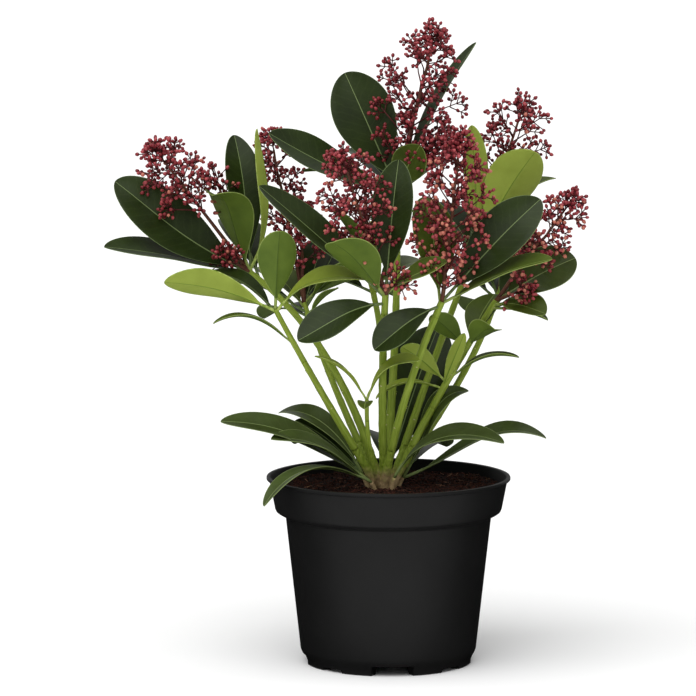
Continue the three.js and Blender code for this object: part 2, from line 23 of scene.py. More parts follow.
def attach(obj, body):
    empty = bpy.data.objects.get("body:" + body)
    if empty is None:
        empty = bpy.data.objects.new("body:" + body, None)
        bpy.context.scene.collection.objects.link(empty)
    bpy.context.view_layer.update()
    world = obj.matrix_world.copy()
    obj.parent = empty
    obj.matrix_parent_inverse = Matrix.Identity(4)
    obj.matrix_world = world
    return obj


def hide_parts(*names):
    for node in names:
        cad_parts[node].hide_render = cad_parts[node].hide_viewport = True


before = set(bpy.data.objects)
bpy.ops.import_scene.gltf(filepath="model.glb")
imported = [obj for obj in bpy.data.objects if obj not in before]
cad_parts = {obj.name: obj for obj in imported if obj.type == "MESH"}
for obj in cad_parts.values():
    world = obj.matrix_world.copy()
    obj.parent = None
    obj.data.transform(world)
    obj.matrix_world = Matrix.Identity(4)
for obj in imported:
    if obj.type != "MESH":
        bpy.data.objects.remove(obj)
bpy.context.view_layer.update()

log = logging.getLogger("skimmia")

MM = 0.001  # metres in a millimetre
BODY = "root"  # the one body that every piece rides on
GRAIN = "grain"  # attribute: millimetres along and across the tissue, which its pattern follows
GOLDEN_ANGLE = math.radians(137.5)  # turn from one leaf or branch to the next
Point = Sequence[float]
UP: Point = (0, 0, 1)


# ---------------------------------------------------------------- small tools


def linear(colour: str) -> tuple[float, float, float, float]:
    """Turns an sRGB hex colour to the linear values that shaders take.

    Args:
        colour: The colour, as #RRGGBB.

    Returns:
        Linear red, green, blue and an alpha of 1.
    """
    channels = [int(colour[k : k + 2], 16) / 255 for k in (1, 3, 5)]
    return (*(c / 12.92 if c <= 0.04045 else ((c + 0.055) / 1.055) ** 2.4 for c in channels), 1.0)


def add_node(
    tree: bpy.types.NodeTree, kind: str, sockets: dict | None = None, **settings: object
) -> bpy.types.Node:
    """Adds a node with its settings, and gives its sockets values or links.

    Args:
        tree: The node tree that gets the node.
        kind: The node's type name.
        sockets: Input names or places, each with a value or with the output that feeds it.
        **settings: The node's own properties.

    Returns:
        The new node.
    """
    node = tree.nodes.new(kind)
    for name, value in settings.items():
        setattr(node, name, value)
    for key, value in (sockets or {}).items():
        if isinstance(value, bpy.types.NodeSocket):
            tree.links.new(value, node.inputs[key])
        else:
            node.inputs[key].default_value = value
    return node


def vec(values: Point) -> np.ndarray:
    """Gives a point as an array."""
    return np.array(values, dtype=float)


def unit(direction: np.ndarray) -> np.ndarray:
    """Gives the direction with a length of 1."""
    return direction / np.linalg.norm(direction)


def mix(start: float, end: float, share: float) -> float:
    """Gives the value at a share of the way from start to end."""
    return start + (end - start) * share


def across(along: np.ndarray) -> np.ndarray:
    """Gives the direction square to another from which turns about it are counted."""
    helper = vec((0, 1, 0)) if abs(along[1]) < 0.9 else vec((1, 0, 0))
    return unit(np.cross(helper, along))


def turned(direction: np.ndarray, axis: np.ndarray, angle: float) -> np.ndarray:
    """Turns a direction about a unit axis.

    Args:
        direction: The direction to turn.
        axis: The unit axis.
        angle: The turn, in radians.

    Returns:
        The turned direction.
    """
    part = axis * axis.dot(direction) * (1 - math.cos(angle))
    return direction * math.cos(angle) + np.cross(axis, direction) * math.sin(angle) + part


class Seeded:
    """A repeatable stream of numbers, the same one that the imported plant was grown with."""

    def __init__(self, seed: int) -> None:
        """Starts the stream at its seed."""
        self.state = seed

    def share(self) -> float:
        """Gives the next number from 0 to 1."""
        self.state = self.state * 16807 % 2147483647
        return self.state / 2147483647

    def between(self, low: float, high: float) -> float:
        """Gives the next number between two limits."""
        return mix(low, high, self.share())


@contextmanager
def editing(piece: bpy.types.Object) -> Iterator[bmesh.types.BMesh]:
    """Opens a piece in edit mode with nothing selected, and closes it again.

    Args:
        piece: The mesh object to shape.

    Yields:
        The mesh being edited, to select its faces and edges in code.
    """
    bpy.context.view_layer.objects.active = piece
    bpy.ops.object.mode_set(mode="EDIT")
    bpy.ops.mesh.select_all(action="DESELECT")
    yield bmesh.from_edit_mesh(piece.data)
    bpy.ops.object.mode_set(mode="OBJECT")


def started(add: Callable, name: str, **settings: object) -> bpy.types.Object:
    """Adds a primitive with nothing else selected, and sets its place into its mesh.

    Args:
        add: The operator that adds the primitive.
        name: The name for the new object.
        **settings: The operator's settings, in metres.

    Returns:
        The new object, selected and active, at the origin.
    """
    bpy.ops.object.select_all(action="DESELECT")
    add(**settings)
    piece = bpy.context.object
    piece.name = piece.data.name = name
    bpy.ops.object.transform_apply(location=True, rotation=True, scale=True)
    return piece


def applied(piece: bpy.types.Object, kind: str, **settings: object) -> None:
    """Adds a modifier to a piece and applies it.

    Args:
        piece: The piece to modify.
        kind: The modifier's type.
        **settings: The modifier's own properties.
    """
    bpy.context.view_layer.objects.active = piece
    modifier = piece.modifiers.new(kind.lower(), kind)
    for name, value in settings.items():
        setattr(modifier, name, value)
    bpy.ops.object.modifier_apply(modifier=modifier.name)


def drawn_out(radius: float, height: float, corners: Sequence[tuple[float, float]]) -> None:
    """Draws the selected ring of edges out along a section, and closes it after the last corner.

    Args:
        radius: The ring's radius in millimetres.
        height: Its height in millimetres.
        corners: Radius and height of each further corner of the section.
    """
    for next_radius, next_height in corners:
        rise = {"value": (0, 0, (next_height - height) * MM)}
        bpy.ops.mesh.extrude_edges_move(TRANSFORM_OT_translate=rise)
        grow = next_radius / radius
        bpy.ops.transform.resize(value=(grow, grow, 1), center_override=(0, 0, 0))
        radius, height = next_radius, next_height
    bpy.ops.mesh.edge_face_add()
    bpy.ops.mesh.select_all(action="SELECT")
    bpy.ops.mesh.normals_make_consistent(inside=False)


def finished(piece: bpy.types.Object, slot: str, *nodes: str) -> None:
    """Hands a piece over: it rides on the plant's body and stands for CAD nodes.

    Args:
        piece: The finished piece.
        slot: Not used.
        *nodes: The CAD nodes that it stands for.
    """
    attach(piece, BODY)
    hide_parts(*nodes)
    log.info("%-34s %7d faces", piece.name, len(piece.data.polygons))


# ---------------------------------------------------------------- shapes that repeat


@dataclass(frozen=True)
class Shape:
    """A small modelled shape that is copied many times."""

    points: np.ndarray
    corners: np.ndarray  # point numbers, face after face
    sizes: np.ndarray  # corners of each face
    skins: np.ndarray  # finish of each face, as a number

    @classmethod
    def taken_from(cls, piece: bpy.types.Object) -> "Shape":
        """Reads the shape from a modelled object, in its own units, and removes the object.

        Args:
            piece: The modelled object.

        Returns:
            The shape.
        """
        mesh = piece.data
        points = np.empty(len(mesh.vertices) * 3)
        mesh.vertices.foreach_get("co", points)
        corners = np.empty(len(mesh.loops), dtype=int)
        mesh.loops.foreach_get("vertex_index", corners)
        sizes = np.array([face.loop_total for face in mesh.polygons])
        skins = np.array([face.material_index for face in mesh.polygons])
        bpy.data.objects.remove(piece)
        return cls(points.reshape(-1, 3), corners, sizes, skins)

    @classmethod
    def rod(cls, sides: int, rings: int) -> "Shape":
        """Makes the faces of a closed rod whose points are given ring after ring.

        Args:
            sides: Points in a ring.
            rings: How many rings there are.

        Returns:
            The rod, with its points still at zero.
        """
        around = np.arange(sides)
        step = np.stack([around, (around + 1) % sides, (around + 1) % sides + sides, around + sides], axis=1)
        walls = np.concatenate([step + sides * k for k in range(rings - 1)]).ravel()
        ends = np.concatenate([around[::-1], around + sides * (rings - 1)])
        sizes = np.array([4] * (sides * (rings - 1)) + [sides, sides])
        points = np.zeros((sides * rings, 3))
        return cls(points, np.concatenate([walls, ends]), sizes, np.zeros(len(sizes), dtype=int))


class Heap:
    """Many small shapes that are joined in one mesh."""

    def __init__(self) -> None:
        """Starts empty."""
        self.points: list[np.ndarray] = []
        self.grains: list[np.ndarray] = []
        self.corners: list[np.ndarray] = []
        self.sizes: list[np.ndarray] = []
        self.skins: list[np.ndarray] = []
        self.count = 0

    def add(
        self, shape: Shape, points: np.ndarray, first_skin: int = 0, grain: np.ndarray | None = None
    ) -> None:
        """Adds a copy of a shape with its points in place.

        Args:
            shape: The shape, which gives the faces.
            points: Its points where they belong, in millimetres.
            first_skin: Number that is added to the shape's own finish numbers.
            grain: Place of each point on the tissue, where a pattern follows it.
        """
        self.points.append(points)
        self.grains.append(points if grain is None else grain)
        self.corners.append(shape.corners + self.count)
        self.sizes.append(shape.sizes)
        self.skins.append(shape.skins + first_skin)
        self.count += len(points)

    def place(
        self, shape: Shape, spot: np.ndarray, along: np.ndarray, size: Point, skin: int, turn: float = 0
    ) -> None:
        """Adds a copy of a shape with its own Z axis laid along a direction.

        Args:
            shape: The shape, about its own origin.
            spot: Where its origin goes.
            along: The unit direction that its Z axis takes.
            size: Its scale along its own three axes.
            skin: Number that is added to the shape's own finish numbers.
            turn: How far it is turned about its Z axis, in radians.
        """
        side = turned(across(along), along, turn)
        axes = np.stack([side * size[0], np.cross(along, side) * size[1], along * size[2]])
        self.add(shape, spot + shape.points @ axes, skin)

    def reed(self, path: Sequence[np.ndarray], radii: Sequence[float], sides: int, skin: int = 0) -> None:
        """Adds a closed round rod along a path.

        Args:
            path: Points that the rod follows.
            radii: Its radius at each of them.
            sides: Corners of its section.
            skin: Number of its finish.
        """
        spots = np.array(path)
        ways = np.gradient(spots, axis=0)
        ways /= np.linalg.norm(ways, axis=1, keepdims=True)
        side = across(ways[0])
        turns = 2 * math.pi * np.arange(sides) / sides
        runs = np.concatenate([[0], np.cumsum(np.linalg.norm(np.diff(spots, axis=0), axis=1))])
        points, grain = [], []
        for spot, way, radius, run in zip(spots, ways, radii, runs):
            side = unit(side - way * way.dot(side))
            out = np.outer(np.cos(turns), side) + np.outer(np.sin(turns), np.cross(way, side))
            points.append(spot + out * radius)
            section = [radius * np.cos(turns), radius * np.sin(turns), np.full(sides, run)]
            grain.append(np.stack(section, axis=1))
        self.add(Shape.rod(sides, len(spots)), np.concatenate(points), skin, np.concatenate(grain))

    def piece(self, name: str, finishes: Sequence[bpy.types.Material]) -> bpy.types.Object:
        """Joins all that was added into one object.

        Args:
            name: The piece's name.
            finishes: Its materials, in the order of the finish numbers.

        Returns:
            The new object, in metres, with smooth faces.
        """
        sizes = np.concatenate(self.sizes)
        corners = np.concatenate(self.corners)
        mesh = bpy.data.meshes.new(name)
        mesh.vertices.add(self.count)
        mesh.vertices.foreach_set("co", (np.concatenate(self.points) * MM).ravel())
        mesh.loops.add(len(corners))
        mesh.loops.foreach_set("vertex_index", corners)
        mesh.polygons.add(len(sizes))
        mesh.polygons.foreach_set("loop_start", np.concatenate([[0], np.cumsum(sizes)[:-1]]))
        for material in finishes:
            mesh.materials.append(material)
        mesh.polygons.foreach_set("material_index", np.concatenate(self.skins))
        grain = mesh.attributes.new(GRAIN, "FLOAT_VECTOR", "POINT")
        grain.data.foreach_set("vector", np.concatenate(self.grains).ravel())
        mesh.update(calc_edges=True)
        mesh.shade_smooth()
        piece = bpy.data.objects.new(name, mesh)
        bpy.context.scene.collection.objects.link(piece)
        return piece


# ---------------------------------------------------------------- finishes


@dataclass(frozen=True)
class Finish:
    """What every finish has: a name, a colour and a shine."""

    name: str
    tone: str  # the main colour
    shade: str  # the second colour, which mottles the first
    roughness: float = 0.5
    ior: float = 1.45
    specular: float = 0.5

    def blank(self) -> tuple[bpy.types.Material, bpy.types.NodeTree, bpy.types.Node]:
        """Starts the material.

        Returns:
            The material, its node tree and its surface shader.
        """
        material = bpy.data.materials.new(self.name)
        material.use_nodes = True
        material.diffuse_color = linear(self.tone)
        tree = material.node_tree
        surface = tree.nodes["Principled BSDF"]
        surface.inputs["Roughness"].default_value = self.roughness
        surface.inputs["IOR"].default_value = self.ior
        surface.inputs["Specular IOR Level"].default_value = self.specular
        return material, tree, surface

    def mottle(
        self, tree: bpy.types.NodeTree, place: bpy.types.NodeSocket, patch: float
    ) -> bpy.types.NodeSocket:
        """Blends the two colours in soft patches.

        Args:
            tree: The material's node tree.
            place: The coordinates that the patches follow.
            patch: Patches per unit of those coordinates.

        Returns:
            The blended colour.
        """
        clouds = add_node(tree, "ShaderNodeTexNoise", {"Vector": place, "Scale": patch, "Detail": 3.0})
        spread = add_node(tree, "ShaderNodeMapRange", {"Value": clouds.outputs["Fac"], 1: 0.35, 2: 0.65})
        colours = {0: spread.outputs[0], 6: linear(self.tone), 7: linear(self.shade)}
        return add_node(tree, "ShaderNodeMix", colours, data_type="RGBA").outputs[2]


@dataclass(frozen=True)
class MouldedPolypropylene(Finish):
    """Injection-moulded black polypropylene: an even satin black that carries a fine spark-eroded grain."""

    grain_mm: float = 0.9  # coarser than the real 0.1 mm texture, which would not show
    grain_depth_mm: float = 0.05
    grain_strength: float = 0.18
    smoother: float = 0.04  # how far the grain takes the roughness down
    rougher: float = 0.05  # and how far up
    flow_mm: float = 45.0  # width of the broad bands where the melt met

    def material(self) -> bpy.types.Material:
        """Makes the material."""
        material, tree, surface = self.blank()
        place = add_node(tree, "ShaderNodeTexCoord").outputs["Object"]
        colour = self.mottle(tree, place, 1 / (self.flow_mm * MM))
        tree.links.new(colour, surface.inputs["Base Color"])
        pits = {"Vector": place, "Scale": 1 / (self.grain_mm * MM), "Detail": 2.0}
        grain = add_node(tree, "ShaderNodeTexNoise", pits).outputs["Fac"]
        shine = {"Value": grain, 3: self.roughness - self.smoother, 4: self.roughness + self.rougher}
        tree.links.new(add_node(tree, "ShaderNodeMapRange", shine).outputs[0], surface.inputs["Roughness"])
        relief = {"Height": grain, "Strength": self.grain_strength, "Distance": self.grain_depth_mm * MM}
        tree.links.new(add_node(tree, "ShaderNodeBump", relief).outputs[0], surface.inputs["Normal"])
        return material


@dataclass(frozen=True)
class FibrousPeat(Finish):
    """Damp milled peat: matt, dark, with reddish fibres and black hollows between the crumbs."""

    crumb_mm: float = 2.2
    fibre_mm: float = 0.7
    relief_mm: float = 0.6
    relief_strength: float = 0.9

    def material(self) -> bpy.types.Material:
        """Makes the material."""
        material, tree, surface = self.blank()
        place = add_node(tree, "ShaderNodeTexCoord").outputs["Object"]
        colour = self.mottle(tree, place, 1 / (self.crumb_mm * MM))
        tree.links.new(colour, surface.inputs["Base Color"])
        rough = {"Vector": place, "Scale": 1 / (self.fibre_mm * MM), "Detail": 4.0}
        crumbs = add_node(tree, "ShaderNodeTexNoise", rough).outputs["Fac"]
        relief = {"Height": crumbs, "Strength": self.relief_strength, "Distance": self.relief_mm * MM}
        tree.links.new(add_node(tree, "ShaderNodeBump", relief).outputs[0], surface.inputs["Normal"])
        return material


@dataclass(frozen=True)
class ShootBark(Finish):
    """Skin of a shoot: smooth and green with pale streaks, turning to fissured tan cork at the foot."""

    cork: str = "#C8B084"
    cork_shade: str = "#745C3E"
    cork_top: float = 144.0  # height at which the cork begins to turn green
    green_from: float = 155.0  # and where it is all green
    wave_mm: float = 16.0  # how far up and down that change wanders
    waves: float = 160.0  # its wanderings to a metre
    fissures: float = 900.0  # fissures of the cork to a metre
    streak_mm: float = 1.1
    streak_slimness: float = 0.08  # a streak's width, as a share of its length
    fibres: float = 2.2  # fine ridges to a millimetre
    relief_mm: float = 0.25
    relief_strength: float = 0.5

    def material(self) -> bpy.types.Material:
        """Makes the material."""
        material, tree, surface = self.blank()
        grain = add_node(tree, "ShaderNodeAttribute", attribute_name=GRAIN).outputs["Vector"]
        slim = {"Vector": grain, "Scale": (1, 1, self.streak_slimness)}
        lain = add_node(tree, "ShaderNodeMapping", slim).outputs[0]
        green = self.mottle(tree, lain, 1 / self.streak_mm)
        place = add_node(tree, "ShaderNodeTexCoord").outputs["Object"]
        cracks = {"Vector": place, "Scale": self.fissures, "Detail": 4.0}
        rough = add_node(tree, "ShaderNodeTexNoise", cracks).outputs["Fac"]
        corks = {0: rough, 6: linear(self.cork_shade), 7: linear(self.cork)}
        cork = add_node(tree, "ShaderNodeMix", corks, data_type="RGBA").outputs[2]
        height = add_node(tree, "ShaderNodeSeparateXYZ", {0: place}).outputs["Z"]
        wave = add_node(tree, "ShaderNodeTexNoise", {"Vector": place, "Scale": self.waves}).outputs["Fac"]
        lift = {0: wave, 1: self.wave_mm * MM, 2: height}
        lifted = add_node(tree, "ShaderNodeMath", lift, operation="MULTIPLY_ADD").outputs[0]
        middle = self.wave_mm / 2
        limits = {"Value": lifted, 1: (self.cork_top + middle) * MM, 2: (self.green_from + middle) * MM}
        green_share = add_node(tree, "ShaderNodeMapRange", limits).outputs[0]
        both = {0: green_share, 6: cork, 7: green}
        colour = add_node(tree, "ShaderNodeMix", both, data_type="RGBA").outputs[2]
        tree.links.new(colour, surface.inputs["Base Color"])
        ridges = {"Vector": lain, "Scale": self.fibres, "Detail": 3.0}
        fine = add_node(tree, "ShaderNodeTexNoise", ridges).outputs["Fac"]
        relief = {"Height": fine, "Strength": self.relief_strength, "Distance": self.relief_mm * MM}
        tree.links.new(add_node(tree, "ShaderNodeBump", relief).outputs[0], surface.inputs["Normal"])
        return material


@dataclass(frozen=True)
class LeafBlade(Finish):
    """One side of a leathery leaf: an even waxy skin, a little paler over veins that lean to the tip."""

    vein: str = "#6F8356"
    vein_share: float = 0.03  # how far a side vein's colour goes towards it
    patch_mm: float = 26.0
    vein_spacing_mm: float = 8.0
    vein_lean: float = 0.85  # how far a side vein runs on for each millimetre that it runs out
    vein_crest: float = 0.8  # where on its wave a side vein begins; at 1 it is a hairline
    wander_mm: float = 7.0  # how far a side vein strays
    wander: float = 0.12  # its strayings to a millimetre
    flecks: float = 0.5  # flecks of wax to a millimetre
    smoother: float = 0.05  # how far the wax takes the roughness down
    rougher: float = 0.07  # and how far up
    vein_sink: float = 1.2  # how deep a side vein lies, against the wax
    relief_mm: float = 0.3
    relief_strength: float = 0.35

    def material(self) -> bpy.types.Material:
        """Makes the material."""
        material, tree, surface = self.blank()
        grain = add_node(tree, "ShaderNodeAttribute", attribute_name=GRAIN).outputs["Vector"]
        clouds = self.mottle(tree, grain, 1 / self.patch_mm)
        strays = {"Vector": grain, "Scale": self.wander}
        wobble = add_node(tree, "ShaderNodeTexNoise", strays).outputs["Fac"]
        parts = add_node(tree, "ShaderNodeSeparateXYZ", {0: grain})
        out = add_node(tree, "ShaderNodeMath", {0: parts.outputs["Y"]}, operation="ABSOLUTE").outputs[0]
        behind = {0: out, 1: -self.vein_lean, 2: parts.outputs["X"]}
        lag = add_node(tree, "ShaderNodeMath", behind, operation="MULTIPLY_ADD").outputs[0]
        strayed = {0: wobble, 1: self.wander_mm, 2: lag}
        phase = add_node(tree, "ShaderNodeMath", strayed, operation="MULTIPLY_ADD").outputs[0]
        pace = {0: phase, 1: 2 * math.pi / self.vein_spacing_mm}
        turn = add_node(tree, "ShaderNodeMath", pace, operation="MULTIPLY").outputs[0]
        wave = add_node(tree, "ShaderNodeMath", {0: turn}, operation="SINE").outputs[0]
        crest = {"Value": wave, 1: self.vein_crest, 2: 1.0, 4: self.vein_share}
        veins = add_node(tree, "ShaderNodeMapRange", crest, interpolation_type="SMOOTHSTEP").outputs[0]
        colours = {0: veins, 6: clouds, 7: linear(self.vein)}
        colour = add_node(tree, "ShaderNodeMix", colours, data_type="RGBA").outputs[2]
        tree.links.new(colour, surface.inputs["Base Color"])
        bloom = {"Vector": grain, "Scale": self.flecks, "Detail": 3.0}
        wax = add_node(tree, "ShaderNodeTexNoise", bloom).outputs["Fac"]
        shine = {"Value": wax, 3: self.roughness - self.smoother, 4: self.roughness + self.rougher}
        tree.links.new(add_node(tree, "ShaderNodeMapRange", shine).outputs[0], surface.inputs["Roughness"])
        sunk = {0: veins, 1: -self.vein_sink, 2: wax}
        height = add_node(tree, "ShaderNodeMath", sunk, operation="MULTIPLY_ADD").outputs[0]
        relief = {"Height": height, "Strength": self.relief_strength, "Distance": self.relief_mm * MM}
        tree.links.new(add_node(tree, "ShaderNodeBump", relief).outputs[0], surface.inputs["Normal"])
        return material


@dataclass(frozen=True)
class PlantTissue(Finish):
    """Plain plant matter in two close tones, as on ribs, scars, pedicels, buds and crumbs of peat."""

    patch_mm: float = 3.0

    def material(self) -> bpy.types.Material:
        """Makes the material."""
        material, tree, surface = self.blank()
        place = add_node(tree, "ShaderNodeTexCoord").outputs["Object"]
        tree.links.new(self.mottle(tree, place, 1 / (self.patch_mm * MM)), surface.inputs["Base Color"])
        return material


@dataclass(frozen=True)
class StudioSweep(Finish):
    """The studio's floor of matt white board."""

    def material(self) -> bpy.types.Material:
        """Makes the material."""
        material, tree, surface = self.blank()
        place = add_node(tree, "ShaderNodeTexCoord").outputs["Object"]
        tree.links.new(self.mottle(tree, place, 2.0), surface.inputs["Base Color"])
        return material


class Age(Enum):
    """How old a leaf is, which sets its greens; SHADED instead holds duller, greyer greens that are painted
    shade for leaves that sit where little light comes.
    """

    OLD = "old"
    MATURE = "mature"
    YOUNG = "young"
    # SHADED is painted shade: duller, greyer greens for leaves where little light comes.
    SHADED = "shaded"  # low down, where little light comes


class LeafSkin(IntEnum):
    """The finishes that one leaf has, in the order of its material slots."""

    UPPER = 0
    VEIN = 1
    UNDER = 2
    RIB = 3
    EDGE = 4


class BudSkin(IntEnum):
    """The finishes of buds, in the order of their material slots."""

    CALYX = 0
    CRIMSON = 1
    ROSE = 2
    PEACH = 3


@dataclass(frozen=True)
class LeafColours:
    """The greens of one age of leaf."""

    upper: tuple[str, str]
    under: tuple[str, str]
    vein: str
    rib: str
    edge: str
    gloss: float  # roughness of the upper side

    def materials(self, age: Age) -> list[bpy.types.Material]:
        """Makes the five finishes of a leaf.

        Args:
            age: The leaf's age, for the names.

        Returns:
            The materials, in the order of LeafSkin.
        """
        word = age.value
        finishes = [
            LeafBlade(f"waxy_upper_side_{word}", *self.upper, self.gloss, specular=0.2, vein=self.vein),
            PlantTissue(f"midrib_{word}", self.vein, self.vein, 0.5, specular=0.3),
            LeafBlade(f"matt_under_side_{word}", *self.under, 0.6, specular=0.2, vein=self.rib),
            PlantTissue(f"rib_{word}", self.rib, self.rib, 0.6, specular=0.2),
            PlantTissue(f"leaf_edge_{word}", self.edge, self.vein, 0.5, specular=0.3),
        ]
        return [finish.material() for finish in finishes]


LEAF_COLOURS = {
    Age.OLD: LeafColours(
        ("#26330F", "#1D280A"), ("#4E5E2A", "#3E4E20"), "#6C7D4C", "#758548", "#56683A", 0.36
    ),
    Age.MATURE: LeafColours(
        ("#4C5C1A", "#3E4C12"), ("#5E7228", "#4E6220"), "#7E9048", "#465A1C", "#8A9A50", 0.42
    ),
    Age.YOUNG: LeafColours(
        ("#8C9C36", "#7C8C2A"), ("#94A444", "#849438"), "#728A2E", "#68822A", "#AEBC68", 0.46
    ),
    # Painted shade: duller, greyer greens for leaves that sit where little light comes.
    Age.SHADED: LeafColours(
        ("#404E22", "#343F19"), ("#5A6A34", "#4A5A2A"), "#7A8A54", "#6C7C44", "#7C8C50", 0.34
    ),
}


# ---------------------------------------------------------------- pot and potting mix


@dataclass
class NurseryPot:
    """The pot: a thin moulded wall with a wide collar, a rolled lip and a slotted foot ring."""

    height: float = 146
    rim_radius: float = 95
    collar_top: float = 92.6
    collar_foot: float = 88.4
    collar_drop: float = 25.5
    shoulder_drop: float = 31
    body_top: float = 80.2
    body_foot: float = 69
    body_foot_height: float = 13
    foot_radius: float = 65.5
    foot_height: float = 7
    wall: float = 1.6
    centre_radius: float = 24
    ring_width: float = 7
    slots: int = 4
    slots_turn: float = 2.5  # degrees that the slots are turned from the front
    slot_width: float = 22
    slot_taper: float = 0.9  # how much narrower a slot is at its top
    slot_flare: float = 2  # and how much wider at its outer end
    recess_width: float = 13
    recess_height: float = 2.8
    sides: int = 144
    finish: Finish = field(
        default_factory=lambda: MouldedPolypropylene(
            "moulded_polypropylene", "#131313", "#161616", 0.5, 1.49, 0.18
        )
    )

    def profile(self) -> list[tuple[float, float]]:
        """Gives the wall's section: from the middle of the underside, up the outside, down the inside.

        Returns:
            Radius and height of each corner.
        """
        top, foot, ring = self.height, self.foot_radius, self.foot_radius - self.ring_width
        collar, shoulder = top - self.collar_drop, top - self.shoulder_drop
        floor = self.foot_height
        under = [
            (2, 0), (self.centre_radius - 0.6, 0), (self.centre_radius, 0.5),
            (self.centre_radius + 1.8, floor - 0.6), (self.centre_radius + 2.8, floor),
            (ring - 2.8, floor), (ring - 1.8, floor - 0.6), (ring, 0.5), (ring + 0.6, 0),
            (foot - 0.6, 0), (foot, 0.5), (foot + 0.1, 3.6), (foot + 0.9, 5.6),
            (foot + 2.3, 8.6), (foot + 3, 10.4),
        ]  # fmt: skip
        outside = [
            (foot + 3.3, 12), (self.body_foot, self.body_foot_height + 1.4),
            (self.body_top - 0.1, shoulder - 0.8), (self.body_top + 0.5, shoulder + 0.2),
            (self.body_top + 2.4, shoulder + 1.5), (self.body_top + 5.8, shoulder + 3),
            (self.collar_foot - 0.8, collar - 1.4), (self.collar_foot, collar + 0.4),
            (self.collar_top, top - 3.4), (self.collar_top + 0.5, top - 2.9),
            (self.rim_radius - 0.5, top - 2.6), (self.rim_radius, top - 2.1), (self.rim_radius, top - 0.8),
            (self.rim_radius - 0.3, top - 0.2), (self.rim_radius - 0.9, top),
        ]  # fmt: skip
        inside = [
            (self.rim_radius - 2.6, top), (self.rim_radius - 3.3, top - 0.5),
            (self.collar_top - self.wall, top - 3.6), (self.collar_foot - self.wall, collar),
            (self.collar_foot - 4, collar - 3.4),
            (self.body_top - self.wall, shoulder - 1), (self.body_foot - self.wall, self.body_foot_height),
            (foot - self.wall, floor + self.wall), (2, floor + self.wall),
        ]  # fmt: skip
        return under + outside + inside

    def shell(self) -> bpy.types.Object:
        """Draws a ring of edges out along the profile, and closes it at both ends.

        Returns:
            The pot without its drain slots.
        """
        (radius, height), *rest = self.profile()
        pot = started(
            bpy.ops.mesh.primitive_circle_add,
            "nursery_pot",
            vertices=self.sides,
            radius=radius * MM,
            location=(0, 0, height * MM),
            fill_type="NGON",
        )
        with editing(pot):
            bpy.ops.mesh.select_all(action="SELECT")
            bpy.ops.mesh.flip_normals()
            bpy.ops.mesh.select_mode(type="EDGE")
            drawn_out(radius, height, rest)
        return pot

    def slot_cutter(self, width: float, height: float, taper: float, turn: float) -> bpy.types.Object:
        """Makes the block that cuts one slot up into the foot ring.

        Args:
            width: The slot's width at the ground.
            height: Its height.
            taper: Its width at the top, as a share of the width at the ground.
            turn: Its place round the ring, in radians from the front.

        Returns:
            The block.
        """
        out = self.foot_radius - self.ring_width / 2
        spot = (out * math.sin(turn) * MM, -out * math.cos(turn) * MM, 0)
        size = (width * MM, 2.6 * self.ring_width * MM, 2 * height * MM)
        block = started(bpy.ops.mesh.primitive_cube_add, "slot_cutter", size=1, scale=size)
        with editing(block) as mesh:
            bpy.ops.mesh.select_mode(type="FACE")
            for face in mesh.faces:
                face.select_set(face.normal.z > 0.9)
            bpy.ops.transform.resize(value=(taper, 1, 1))
            bpy.ops.mesh.bevel(offset=1.2 * MM, segments=3, affect="EDGES")
            bpy.ops.mesh.select_all(action="DESELECT")
            mesh = bmesh.from_edit_mesh(block.data)
            for point in mesh.verts:
                point.select_set(point.co.y < 0)
            mesh.select_flush(True)
            bpy.ops.transform.resize(value=(self.slot_flare, 1, 1))
        block.matrix_world = Matrix.Translation(spot) @ Matrix.Rotation(turn, 4, "Z")
        bpy.ops.object.transform_apply(location=True, rotation=True, scale=True)
        return block

    def build(self) -> None:
        """Builds the pot and hands it over."""
        pot = self.shell()
        for k in range(self.slots):
            turn = math.radians(self.slots_turn) + 2 * math.pi * k / self.slots
            cutters = [
                self.slot_cutter(self.slot_width, self.foot_height + 0.8, self.slot_taper, turn),
                self.slot_cutter(self.recess_width, self.recess_height, 0.9, turn + math.pi / self.slots),
            ]
            for cutter in cutters:
                applied(pot, "BOOLEAN", object=cutter, operation="DIFFERENCE", solver="EXACT")
                bpy.data.objects.remove(cutter)
        bpy.ops.object.select_all(action="DESELECT")
        pot.select_set(True)
        bpy.ops.object.shade_smooth_by_angle(angle=math.radians(32))
        pot.data.materials.clear()
        pot.data.materials.append(self.finish.material())
        finished(pot, "pot", "pot")


